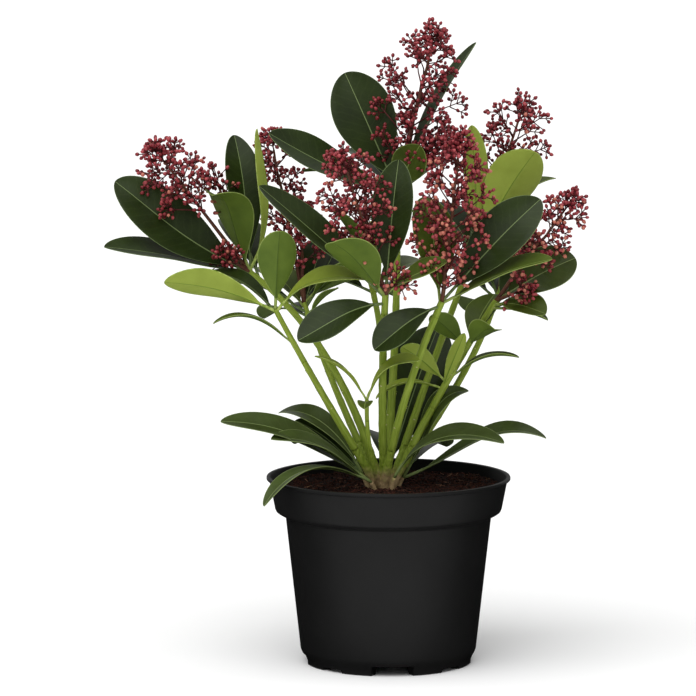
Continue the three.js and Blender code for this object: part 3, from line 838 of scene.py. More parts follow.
@dataclass
class PottingMix:
    """Peat that fills the pot to just under its collar's top, loose and crumbly on its surface."""

    top: float = 137
    radius: float = 88.6  # at the surface
    depth_rings: tuple[tuple[float, float], ...] = ((86.0, 123), (77.6, 113), (66.6, 15), (65.0, 10))
    rings: int = 30
    sides: int = 120
    lumps: float = 2.6  # how far the surface rises and falls
    crumbs: int = 2600
    fibres: int = 1100
    crumb_size: tuple[float, float] = (0.7, 2.1)
    fibre_length: tuple[float, float] = (3.5, 12.0)
    fibre_thickness: tuple[float, float] = (0.25, 0.55)
    bare_edge: float = 2.5  # strip by the wall where nothing loose lies
    lie: float = 0.25  # height of a loose piece's middle over the surface
    dark_share: float = 0.55  # share of the crumbs that are dark
    plain_share: float = 0.9  # share of the fibres that are not pale
    seed: int = 4211
    finish: Finish = field(
        default_factory=lambda: FibrousPeat("milled_peat", "#150C0A", "#241511", 0.95, specular=0.1)
    )
    crumb_finishes: tuple[Finish, ...] = (
        PlantTissue("peat_crumb_dark", "#140C0A", "#22140F", 0.95, specular=0.1),
        PlantTissue("peat_crumb_brown", "#36211C", "#4A2C24", 0.95, specular=0.1),
        PlantTissue("peat_fibre", "#3C231C", "#523026", 0.9, specular=0.1),
        PlantTissue("peat_fibre_pale", "#745444", "#8C6A56", 0.9, specular=0.1),
    )

    def surface(self, x: float, y: float) -> float:
        """Gives the height of the surface at a place.

        Args:
            x: Millimetres to the right.
            y: Millimetres to the back.

        Returns:
            The height in millimetres.
        """
        broad = noise.noise((x / 34, y / 34, 3.7))
        fine = noise.noise((x / 9, y / 9, 8.1)) * 0.45 + noise.noise((x / 4, y / 4, 1.3)) * 0.25
        tilt = 0.9 * x / self.radius
        return self.top + tilt + self.lumps * (broad + fine)

    def bed(self) -> bpy.types.Object:
        """Models the body of peat with its uneven surface.

        Returns:
            The closed bed.
        """
        bed = started(
            bpy.ops.mesh.primitive_circle_add,
            "potting_mix_bed",
            vertices=self.sides,
            radius=self.radius * MM,
            location=(0, 0, self.top * MM),
            fill_type="NGON",
        )
        with editing(bed):
            bpy.ops.mesh.select_mode(type="FACE")
            bpy.ops.mesh.select_all(action="SELECT")
            for _ in range(self.rings):
                bpy.ops.mesh.inset(thickness=self.radius / (self.rings + 1) * MM)
            bpy.ops.mesh.poke()
            bpy.ops.mesh.select_all(action="DESELECT")
            bpy.ops.mesh.select_mode(type="EDGE")
            mesh = bmesh.from_edit_mesh(bed.data)
            for edge in mesh.edges:
                edge.select_set(edge.is_boundary)
            drawn_out(self.radius, self.top, self.depth_rings)
        for point in bed.data.vertices:
            if point.co.z > (self.top - 1) * MM:
                point.co.z = self.surface(point.co.x / MM, point.co.y / MM) * MM
        bed.data.shade_smooth()
        bed.data.materials.append(self.finish.material())
        return bed

    def crumb(self) -> Shape:
        """Models one rough crumb, a millimetre across."""
        ball = started(bpy.ops.mesh.primitive_ico_sphere_add, "crumb", subdivisions=1, radius=0.5)
        with editing(ball):
            bpy.ops.mesh.select_all(action="SELECT")
            bpy.ops.transform.vertex_random(offset=0.16, seed=5)
        return Shape.taken_from(ball)

    def fibre(self) -> Shape:
        """Models one bent fibre, a millimetre long and thick before it is scaled."""
        stick = started(bpy.ops.mesh.primitive_cylinder_add, "fibre", vertices=4, radius=0.5, depth=1)
        with editing(stick):
            for level, shift in ((-0.2, 0.5), (0.2, 0.35)):
                bpy.ops.mesh.select_all(action="SELECT")
                bpy.ops.mesh.bisect(plane_co=(0, 0, level), plane_no=(0, 0, 1))
                bpy.ops.transform.translate(value=(shift, 0, 0))
        return Shape.taken_from(stick)

    def build(self) -> None:
        """Builds the bed and scatters crumbs and fibres over it."""
        finished(self.bed(), "potting_mix", "potting_mix")
        crumb, fibre, stream, loose = self.crumb(), self.fibre(), Seeded(self.seed), Heap()
        for k in range(self.crumbs + self.fibres):
            out = (self.radius - self.bare_edge) * math.sqrt(stream.share())
            turn = stream.between(0, 2 * math.pi)
            spot = vec((out * math.cos(turn), out * math.sin(turn), 0))
            spot[2] = self.surface(spot[0], spot[1]) + self.lie
            if k < self.crumbs:
                size = stream.between(*self.crumb_size)
                along = unit(vec((stream.between(-1, 1), stream.between(-1, 1), stream.between(0.3, 1))))
                tall = (size, size * stream.between(0.6, 1), size * stream.between(0.5, 0.9))
                loose.place(crumb, spot, along, tall, int(stream.share() > self.dark_share))
            else:
                length = stream.between(*self.fibre_length)
                along = unit(vec((stream.between(-1, 1), stream.between(-1, 1), stream.between(-0.12, 0.25))))
                thick = stream.between(*self.fibre_thickness)
                pale = 3 if stream.share() > self.plain_share else 2
                loose.place(fibre, spot, along, (thick, thick, length), pale, stream.between(0, 6.3))
        materials = [finish.material() for finish in self.crumb_finishes]
        finished(loose.piece("potting_mix_crumbs_and_fibres", materials), "potting_mix", "potting_mix")


# ---------------------------------------------------------------- stems


@dataclass
class Crown:
    """The woody foot that all the stems rise from, and where they stand on it."""

    centre: tuple[float, float] = (-3, -2)
    feet: float = 5  # radius of the circle that the stems' feet stand on
    radius: float = 6.5
    neck: float = 5
    height: float = 13
    top: float = 172
    ground: float = 137
    spread: float = 1.5  # how much wider the stub is at its foot
    sunk: float = 3  # how deep it stands in the peat
    flare: float = 0.5  # how much thicker a stem is at its foot
    voxel: float = 0.65
    gnarl_size: float = 3.2
    gnarl_height: float = 1.1

    def beside(self, around: float, out: float, height: float) -> np.ndarray:
        """Gives a point beside the crown.

        Args:
            around: Degrees about the crown's centre.
            out: Distance from it.
            height: Height above the potting mix.

        Returns:
            The point.
        """
        angle = math.radians(around)
        x, y = self.centre
        return vec((x + out * math.cos(angle), y + out * math.sin(angle), self.ground + height))

    def build(self, stems: Sequence["Stem"], bark: bpy.types.Material) -> None:
        """Builds the crown from a stub and the feet of all the stems, grown together.

        Args:
            stems: The stems that stand on it.
            bark: The shoots' material.
        """
        x, y = self.centre
        stub = started(
            bpy.ops.mesh.primitive_cone_add,
            "woody_crown",
            vertices=28,
            radius1=(self.radius + self.spread) * MM,
            radius2=self.neck * MM,
            depth=(self.height + self.sunk) * MM,
            location=(x * MM, y * MM, (self.ground + self.height / 2 - self.sunk / 2) * MM),
        )
        feet = Heap()
        for stem in stems:
            shares = np.linspace(0, stem.share_at(self.top), 8)
            radii = [stem.radius(share) + self.flare * (1 - share / shares[-1]) for share in shares]
            feet.reed([stem.line.at(share) for share in shares], radii, 14)
        limbs = feet.piece("stem_feet", [])
        bpy.ops.object.select_all(action="DESELECT")
        limbs.select_set(True)
        stub.select_set(True)
        bpy.context.view_layer.objects.active = stub
        bpy.ops.object.join()
        applied(stub, "REMESH", mode="VOXEL", voxel_size=self.voxel * MM)
        applied(stub, "SMOOTH", iterations=5, factor=0.5)
        gnarls = bpy.data.textures.new("gnarls", "CLOUDS")
        gnarls.noise_scale = self.gnarl_size * MM
        strength = self.gnarl_height * MM
        applied(stub, "DISPLACE", texture=gnarls, texture_coords="LOCAL", strength=strength, mid_level=0.5)
        stub.data.materials.clear()
        stub.data.materials.append(bark)
        grain = stub.data.attributes.new(GRAIN, "FLOAT_VECTOR", "POINT")
        points = np.empty(len(stub.data.vertices) * 3, dtype=np.float32)
        stub.data.vertices.foreach_get("co", points)
        grain.data.foreach_set("vector", points / MM)
        stub.data.shade_smooth()
        finished(stub, "crown", "crown")


class CentreLine:
    """A stem's centre line: the curve from its foot through its middle to its tip, measured along it."""

    def __init__(self, foot: np.ndarray, middle: np.ndarray, tip: np.ndarray) -> None:
        """Lays the curve and measures it."""
        self.foot, self.tip = foot, tip
        self.control = 2 * middle - 0.5 * foot - 0.5 * tip
        self.steps = np.linspace(0, 1, 201)
        spots = np.array([self.spot(step) for step in self.steps])
        self.runs = np.concatenate([[0], np.cumsum(np.linalg.norm(np.diff(spots, axis=0), axis=1))])
        self.length = float(self.runs[-1])

    def spot(self, step: float) -> np.ndarray:
        """Gives the point at a parameter of the curve."""
        return (1 - step) ** 2 * self.foot + 2 * step * (1 - step) * self.control + step**2 * self.tip

    def at(self, share: float) -> np.ndarray:
        """Gives the point at a share of the length."""
        return self.spot(float(np.interp(share * self.length, self.runs, self.steps)))

    def heading(self, share: float) -> np.ndarray:
        """Gives the unit direction at a share of the length."""
        step = float(np.interp(share * self.length, self.runs, self.steps))
        return unit((1 - step) * (self.control - self.foot) + step * (self.tip - self.control))


@dataclass
class Stem:
    """One green stem with leaf scars where old leaves stood."""

    name: str
    around: float | None  # degrees about the crown's centre; None is at the centre itself
    middle: Point
    tip: Point
    radii: tuple[float, float]
    bare: float  # share of its length below the foliage
    node_spacing: float = 21
    spacing_range: tuple[float, float] = (0.7, 1.25)  # of the node spacing
    node_swelling: float = 0.06
    swelling_reach: float = 2.4
    ring_spacing: float = 1.6  # from one ring of the mesh to the next
    line: CentreLine = field(init=False)

    def __post_init__(self) -> None:
        """Lays the centre line from the crown."""
        crown = Crown()
        out = 0 if self.around is None else crown.feet
        foot = crown.beside(self.around or 0, out, 0)
        self.line = CentreLine(foot, vec(self.middle), vec(self.tip))

    def radius(self, share: float) -> float:
        """Gives the stem's plain radius at a share of its length."""
        return mix(*self.radii, share)

    def share_at(self, height: float) -> float:
        """Gives the share of its length at which the stem reaches a height."""
        share = 0.0
        while self.line.at(share)[2] < height:
            share += 0.002
        return share

    def nodes(self) -> list[float]:
        """Gives the shares of its length at which old leaves stood."""
        stream = Seeded(int(1000 + self.line.length))
        places, run = [], Crown().top - Crown().ground + 6
        while run < self.line.length - 4:
            places.append(run / self.line.length)
            run += self.node_spacing * stream.between(*self.spacing_range)
        return places

    def swollen(self, share: float) -> float:
        """Gives the stem's radius, with the swelling at each node.

        Args:
            share: Share of the stem's length.

        Returns:
            The radius.
        """
        nearest = min((abs(share - node) for node in self.nodes()), default=math.inf) * self.line.length
        swelling = self.node_swelling * math.exp(-((nearest / self.swelling_reach) ** 2))
        return self.radius(share) * (1 + swelling)

    def limb(self, heap: Heap, start: float, end: float, sides: int = 16) -> None:
        """Adds the stretch of the stem between two shares of its length.

        Args:
            heap: The heap that gets it.
            start: Share of the length where it begins.
            end: Share where it ends.
            sides: Corners of its section.
        """
        count = max(4, int((end - start) * self.line.length / self.ring_spacing))
        shares = np.linspace(start, end, count)
        heap.reed([self.line.at(s) for s in shares], [self.swollen(s) for s in shares], sides)

    def scars(self, heap: Heap, scar: Shape, start: float, end: float) -> None:
        """Adds a leaf scar and its sleeping bud at every node between two shares of the length.

        Args:
            heap: The heap that gets them.
            scar: The shape of a scar.
            start: Share of the length where they begin.
            end: Share where they end.
        """
        for k, share in enumerate(self.nodes()):
            if not start <= share < end:
                continue
            way = self.line.heading(share)
            out = turned(across(way), way, k * GOLDEN_ANGLE + self.line.length)
            spot = self.line.at(share) + out * (self.swollen(share) - 0.25)
            heap.place(scar, spot, out, (0.5, 0.34 * self.radius(share), 0.55), 1, self.scar_turn(out, way))
            heap.place(scar, spot + way * 1.5, unit(out + way * 0.6), (0.5, 0.5, 0.8), 0)

    @staticmethod
    def scar_turn(out: np.ndarray, way: np.ndarray) -> float:
        """Gives the turn that lays a scar's short side along the stem."""
        side = across(out)
        return math.atan2(np.cross(side, way).dot(out), side.dot(way))


# ---------------------------------------------------------------- leaves


@dataclass(frozen=True)
class BladePattern:
    """The net of a leaf blade: rows along it and columns across it, with an upper and an under side."""

    rows: int = 30
    petiole_rows: int = 4
    half_columns: int = 6
    spacing: tuple[float, ...] = (0, 0.12, 0.4, 0.72, 1)  # columns between the midrib's edge and the margin

    def model(self) -> Shape:
        """Models the net as a flat slab: rows along X, columns along Y, sides at Z of -1 and 1.

        Returns:
            The slab, with each face's finish.
        """
        columns = 2 * self.half_columns
        cells = {"x_subdivisions": self.rows, "y_subdivisions": columns}
        net = started(bpy.ops.mesh.primitive_grid_add, "leaf_net", size=1, **cells)
        with editing(net):
            bpy.ops.mesh.select_all(action="SELECT")
            bpy.ops.transform.translate(value=(0.5, 0, -1))
            bpy.ops.transform.resize(value=(self.rows, columns, 1), center_override=(0, 0, -1))
            bpy.ops.mesh.extrude_region_move(TRANSFORM_OT_translate={"value": (0, 0, 2)})
            bpy.ops.mesh.select_all(action="SELECT")
            bpy.ops.mesh.normals_make_consistent(inside=False)
        for face in net.data.polygons:
            row, column, side = face.center.x, abs(face.center.y), face.normal.z
            if abs(side) < 0.5 or row < self.petiole_rows or column > self.half_columns - 1:
                face.material_index = LeafSkin.EDGE
            elif column < 1:
                face.material_index = LeafSkin.VEIN if side > 0 else LeafSkin.RIB
            else:
                face.material_index = LeafSkin.UPPER if side > 0 else LeafSkin.UNDER
        return Shape.taken_from(net)


@dataclass(frozen=True)
class Leaf:
    """One leaf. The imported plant's leaf has the same reach, width and bend."""

    down: float  # millimetres from the stem's tip to the leaf's foot
    reach: Point
    wide: float
    lift: float
    droop: float
    faces: Point = UP
    age: Age = Age.OLD
    bow: float = 0  # how far the midrib bends sideways, as a share of the length
    petiole: float = 0.12
    petiole_radius: float = 1.2
    thickness: float = 0.55
    widest: float = 0.62
    base_taper: float = 0.95
    fold: float = 14.0
    handle: float = 0.42
    rib: float = 0.55  # half the midrib's width
    edge: float = 0.4  # width of the pale margin
    keel: float = 1.0  # how far the midrib stands out on the under side
    groove: float = 0.18  # how deep it lies on the upper side
    ripple: float = 0.035  # height of the margin's waves, as a share of the half-width
    ripples: tuple[float, float] = (1.5, 3)  # waves along a margin

    def outline(self, share: np.ndarray) -> np.ndarray:
        """Gives the blade's half-width at shares of its length, as a share of the most.

        Args:
            share: Shares of the leaf's length.

        Returns:
            The half-widths.
        """
        u = np.clip((share - self.petiole) / (1 - self.petiole), 0, 1)
        tip_taper = self.base_taper * (1 - self.widest) / self.widest
        return (u / self.widest) ** self.base_taper * ((1 - u) / (1 - self.widest)) ** tip_taper

    def lay(
        self, foot: np.ndarray, net: Shape, pattern: BladePattern, seed: int
    ) -> tuple[np.ndarray, np.ndarray]:
        """Lays the net of a leaf along its midrib.

        Args:
            foot: Where the petiole leaves the stem.
            net: The flat net.
            pattern: The net's rows and columns.
            seed: Seed of the leaf's own small bends.

        Returns:
            The points in place, and their places along and across the leaf.
        """
        stream = Seeded(seed)
        span = vec(self.reach)
        length = float(np.linalg.norm(span))
        ahead = span / length
        faces = vec(self.faces)
        normal = unit(faces - ahead * faces.dot(ahead))
        side = np.cross(ahead, normal)
        lift, droop = math.radians(self.lift), math.radians(180 - self.droop)
        grip = self.handle * length
        tip = foot + span
        knots = [
            foot,
            foot + (ahead * math.cos(lift) + normal * math.sin(lift)) * grip,
            tip + (ahead * math.cos(droop) + normal * math.sin(droop)) * grip,
            tip,
        ]
        row, column, face = net.points.T
        petiole_rows = pattern.petiole_rows
        blade_share = np.clip((row - petiole_rows) / (pattern.rows - petiole_rows), 0, 1)
        share = np.where(
            row <= petiole_rows,
            self.petiole * row / petiole_rows,
            self.petiole + (1 - self.petiole) * np.sin(blade_share * math.pi / 2) ** 1.15,
        )
        s = share[:, None]
        centre = (
            (1 - s) ** 3 * knots[0]
            + 3 * s * (1 - s) ** 2 * knots[1]
            + 3 * s**2 * (1 - s) * knots[2]
            + s**3 * knots[3]
        )
        way = (
            (1 - s) ** 2 * (knots[1] - knots[0])
            + 2 * s * (1 - s) * (knots[2] - knots[1])
            + s**2 * (knots[3] - knots[2])
        )
        way /= np.linalg.norm(way, axis=1, keepdims=True)
        above = np.cross(side, way)
        stalk = self.petiole_radius * min(1, self.wide / 24)
        half = np.maximum(self.outline(share) * self.wide / 2, stalk * np.where(share < 0.5, 1, 0.25))
        rib = np.minimum(self.rib * (1.15 - 0.8 * share), 0.3 * half)
        edge = np.minimum(self.edge, 0.18 * half)
        step = np.abs(column)
        spread = np.interp(step, [0, 1, 2, 3, 4, 5, 6], [0, *pattern.spacing, 1])
        out = np.where(step < 0.5, 0, np.where(step > 5.5, half, rib + (half - edge - rib) * spread))
        lean = np.where(half > 0, out / half, 0)
        petiole_share = np.clip((self.petiole + 0.06 - share) / 0.08, 0, 1)
        round_part = stalk * np.sqrt(np.clip(1 - lean**2, 0.04, 1))
        keel = self.keel * (1.1 - share) * np.interp(step, [0, 1, 2], [1, 0.45, 0]) * (face < 0)
        groove = self.groove * np.interp(step, [0, 1, 2], [1, 0.7, 0]) * (face > 0)
        thick = self.thickness / 2 * np.where(step > 5.5, 0.6, 1)
        level = petiole_share * round_part + (1 - petiole_share) * (thick + keel - groove)
        raise_ = half * math.tan(math.radians(self.fold)) * lean**1.5 * (1 - petiole_share)
        waves, phase = stream.between(*self.ripples), stream.between(0, 6.3)
        swing = np.sin(2 * math.pi * waves * share + phase + np.sign(column) * 1.3)
        ripple = self.ripple * half * swing * lean**2
        bend = self.bow * length * np.sin(math.pi * share)
        sideways = np.sign(column) * out + bend
        height = raise_ + ripple * (1 - petiole_share) + face * level
        points = centre + side * sideways[:, None] + above * height[:, None]
        grain = np.stack([share * length + seed * 37.0, np.sign(column) * out, face], axis=1)
        return points, grain


# ---------------------------------------------------------------- panicles


@dataclass
class Bunch:
    """The wood and the buds of one panicle while it grows."""

    bud: Shape
    wood: Heap
    buds: Heap
    fine: Seeded  # stream for the small differences
    peach: float = 0  # share of the buds that are peach-coloured where it grows now
    rose: float = 0.34
    missing: float = 0.08
    pedicel: tuple[float, float] = (1.9, 3.3)
    pedicel_radius: float = 0.36
    bud_width: tuple[float, float] = (2.5, 3.2)
    bud_length: tuple[float, float] = (1.15, 1.36)  # of the width
    twig_radius: float = 0.54

    def twig(self, *spots: np.ndarray, start: float, end: float) -> None:
        """Adds a twig through some points, from one radius to another."""
        self.wood.reed(spots, np.linspace(start, end, len(spots)), 5, 1)

    def tip(self, fork: np.ndarray, way: np.ndarray, stretch: float) -> None:
        """Adds one bud on its pedicel.

        Args:
            fork: Where the pedicel starts.
            way: The unit direction that it takes.
            stretch: Its length, as a share of the usual one.
        """
        fine = self.fine
        length, width = fine.between(*self.pedicel) * stretch, fine.between(*self.bud_width)
        half = width * fine.between(*self.bud_length) / 2
        foot = fork + way * length
        self.wood.reed([fork, foot + way * 0.3], [self.pedicel_radius, self.pedicel_radius * 1.3], 4, 1)
        draw = fine.share()
        if draw < self.peach:
            petals = BudSkin.PEACH
        elif draw < self.peach + self.rose:
            petals = BudSkin.ROSE
        else:
            petals = BudSkin.CRIMSON
        # A bud's calyx takes a darker finish, partly its own colour and partly painted shade at its foot
        # between the buds.
        calyx = petals - 1  # the finish before the petals' own, which is darker
        size = (width / 2, width / 2, half)
        self.buds.place(self.bud, foot + way * half * 0.9, way, size, calyx, fine.between(0, 6.3))

    def pair(self, fork: np.ndarray, aim: np.ndarray, turn: float) -> None:
        """Adds two buds that stand off opposite sides of a twig.

        Args:
            fork: Where they leave it.
            aim: The twig's unit direction.
            turn: Their place about it, in radians.
        """
        for side in range(2):
            angle = math.radians(self.fine.between(44, 66))
            away = turned(across(aim), aim, turn + side * math.pi)
            if self.fine.share() > self.missing:
                self.tip(fork, unit(aim * math.cos(angle) + away * math.sin(angle)), 1)

    def spray(self, fork: np.ndarray, aim: np.ndarray, length: float) -> None:
        """Adds a twig with a bud at its tip and pairs of buds behind it.

        Args:
            fork: Where the twig starts.
            aim: The unit direction that it takes.
            length: Its length.
        """
        turn = self.fine.between(0, math.pi)
        end = fork + aim * length
        self.twig(fork, end, start=self.twig_radius, end=self.twig_radius * 0.8)
        self.tip(end, aim, 1.2)
        self.pair(end, aim, turn)
        if length > 7:
            self.pair(fork + aim * length * 0.5, aim, turn + math.pi / 2)


@dataclass(frozen=True)
class Panicle:
    """Sprays of buds on a branched stalk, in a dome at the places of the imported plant's bud knots."""

    reach: Point
    bare: float
    spread: float
    heads: int
    seed: int
    peach: float = 0.1  # share of peach-coloured buds at its foot
    stalk_radius: float = 1.7
    missing: float = 0.08  # share of the buds that never grew
    belly: float = 0.4  # height of the dome's widest place, as a share of it
    branch_radius: float = 0.9
    head_radius: float = 8.5
    size_range: tuple[float, float] = (0.85, 1.15)
    depth_range: tuple[float, float] = (0.7, 1)
    lean: float = 50
    inner: float = 0.4  # sprays inside the dome, as a share of those on it
    inner_depth: tuple[float, float] = (0.3, 0.62)
    # Where each pair of sprays forks off a branch, how long they are, and their angle in degrees.
    forks: tuple[tuple[float, float, float], ...] = ((-0.85, 0.95, 56), (-0.25, 0.62, 50))

    def grow(self, foot: np.ndarray, bunch: Bunch) -> None:
        """Grows the panicle.

        Args:
            foot: The tip of the stem that carries it.
            bunch: What gets its wood and its buds.
        """
        stream = Seeded(self.seed)
        along = unit(vec(self.reach))
        height = float(np.linalg.norm(vec(self.reach)))
        outward = across(along)

        def at(level: float, out: float, turn: float) -> np.ndarray:
            """Gives the point at a height, a distance from the axis and a turn about it."""
            return foot + along * level + turned(outward, along, turn) * out

        def head(climb: float, depth: float, size: float, turn: float) -> None:
            """Grows one cluster of buds with its branch.

            Args:
                climb: Its height, as a share of the dome.
                depth: Its distance from the axis, as a share of the room there.
                size: Its radius.
                turn: Its place about the axis, in radians.
            """
            rise = (climb - self.belly) / (1 - self.belly)
            room = self.spread * math.sqrt(1 - rise**2) - self.head_radius
            out = room * depth
            level = height * (self.bare + (1 - self.bare) * climb)
            fork = level - out / math.tan(math.radians(self.lean))
            bunch.peach = self.peach * (1 - climb)
            self.cluster(at(max(fork, height * self.bare / 2), 0, 0), at(level, out, turn), size, bunch)

        top = height - 2.2 * self.head_radius
        levels = np.linspace(-3, top, 9)
        sway = [0.6 * math.sin(0.21 * level + self.seed) * min(1, max(0, level) / 20) for level in levels]
        path = [at(level, shift, self.seed) for level, shift in zip(levels, sway)]
        radii = [mix(self.stalk_radius, self.branch_radius, max(0, level) / top) for level in levels]
        bunch.wood.reed(path, radii, 8)
        self.cluster(path[-1], at(height - self.head_radius, 0, 0), self.head_radius, bunch)
        for k in range(self.heads):
            depth = mix(*self.depth_range, stream.share())
            size = self.head_radius * mix(*self.size_range, stream.share())
            head(k / self.heads, depth, size, k * GOLDEN_ANGLE + self.seed)
        extra = round(self.heads * self.inner)
        for k in range(extra):
            depth = bunch.fine.between(*self.inner_depth)
            head((k + 0.5) / extra, depth, self.head_radius, k * GOLDEN_ANGLE - self.seed)

    def cluster(self, root: np.ndarray, end: np.ndarray, size: float, bunch: Bunch) -> None:
        """Grows one branch with the sprays at its end.

        Args:
            root: Where it leaves the stalk.
            end: The middle of its cluster of buds.
            size: The cluster's radius.
            bunch: What gets its wood and its buds.
        """
        heading, fine = unit(end - root), bunch.fine
        sag = across(heading) * fine.between(-0.06, 0.06) * float(np.linalg.norm(end - root))
        thick = self.branch_radius * 0.8
        bunch.twig(root, (root + end) / 2 + sag, end, start=thick, end=thick * 0.6)
        start = fine.between(0, math.pi)
        for k, (place, reach, degrees) in enumerate(self.forks):
            for side in range(2):
                turn = start + k * math.pi / 2 + side * math.pi + fine.between(-0.35, 0.35)
                angle = math.radians(degrees + fine.between(-9, 9))
                aim = heading * math.cos(angle) + turned(across(heading), heading, turn) * math.sin(angle)
                bunch.spray(end + heading * place * size, aim, size * reach * fine.between(0.85, 1.1))
        bunch.spray(end, heading, 0.15 * size)


def model_bud() -> Shape:
    """Models one unopened bud about its middle: a round-tipped egg of four closed petals in a small calyx.

    Returns:
        The bud, a unit in radius, with its calyx as finish 0 and its petals as finish 1.
    """
    ball = started(bpy.ops.mesh.primitive_uv_sphere_add, "bud", segments=8, ring_count=6, radius=1)
    with editing(ball) as mesh:
        bpy.ops.mesh.select_mode(type="VERT")
        for point in mesh.verts:
            point.select_set(point.co.z < -0.6)
        bpy.ops.transform.resize(value=(0.72, 0.72, 1), center_override=(0, 0, -1))
        for point in mesh.verts:
            turn = math.degrees(math.atan2(point.co.y, point.co.x)) % 90
            point.select_set(0.3 < point.co.z < 0.99 and min(turn, 90 - turn) < 5)
        bpy.ops.transform.resize(value=(0.86, 0.86, 1), center_override=(0, 0, 0))
    shape = Shape.taken_from(ball)
    starts = np.concatenate([[0], np.cumsum(shape.sizes)[:-1]])
    heights = np.add.reduceat(shape.points[shape.corners, 2], starts) / shape.sizes
    return Shape(shape.points, shape.corners, shape.sizes, (heights > -0.62).astype(int))


def model_scar() -> Shape:
    """Models the raised oval of a leaf scar: the upper half of a flattened ball."""
    ball = started(bpy.ops.mesh.primitive_uv_sphere_add, "scar", segments=8, ring_count=4, radius=1)
    with editing(ball):
        bpy.ops.mesh.select_all(action="SELECT")
        bpy.ops.mesh.bisect(plane_co=(0, 0, -0.4), plane_no=(0, 0, 1), clear_inner=True, use_fill=True)
    return Shape.taken_from(ball)


# ---------------------------------------------------------------- the plant


OLD, MATURE, YOUNG, SHADED = Age

STEMS = [
    Stem("left_low", 205, (-50, -30, 212), (-87, -45, 281), (3.4, 1.9), 0.72),
    Stem("left_high", 130, (-47, 6, 236), (-108, 5, 305), (3.4, 2.2), 0.86),
    Stem("centre_front", None, (-5, -30, 215), (-3, -58, 294), (3.4, 2.6), 0.9),
    Stem("centre_right", 262, (13, -36, 213), (40, -54, 288), (3.2, 2.6), 0.92),
    Stem("right", 344, (42, -2, 214), (83, 0, 283), (3.4, 2.2), 0.42),
    Stem("top", 90, (5, 18, 250), (7, 30, 369), (3.6, 2.2), 0.92),
    Stem("upper_right", 16, (38, 22, 240), (70, 25, 326), (3.2, 2.2), 0.9),
    Stem("back_centre", 110, (-3, 50, 222), (-14, 92, 290), (3.2, 2.2), 0.88),
    Stem("back_right", 62, (55, 48, 212), (88, 82, 280), (3.2, 2.2), 0.88),
    Stem("back_left", 138, (-42, 30, 212), (-66, 50, 276), (3.2, 2), 0.86),
    Stem("young", 222, (-15, -32, 174), (-17, -42, 211), (2, 1.6), 0.8),
]

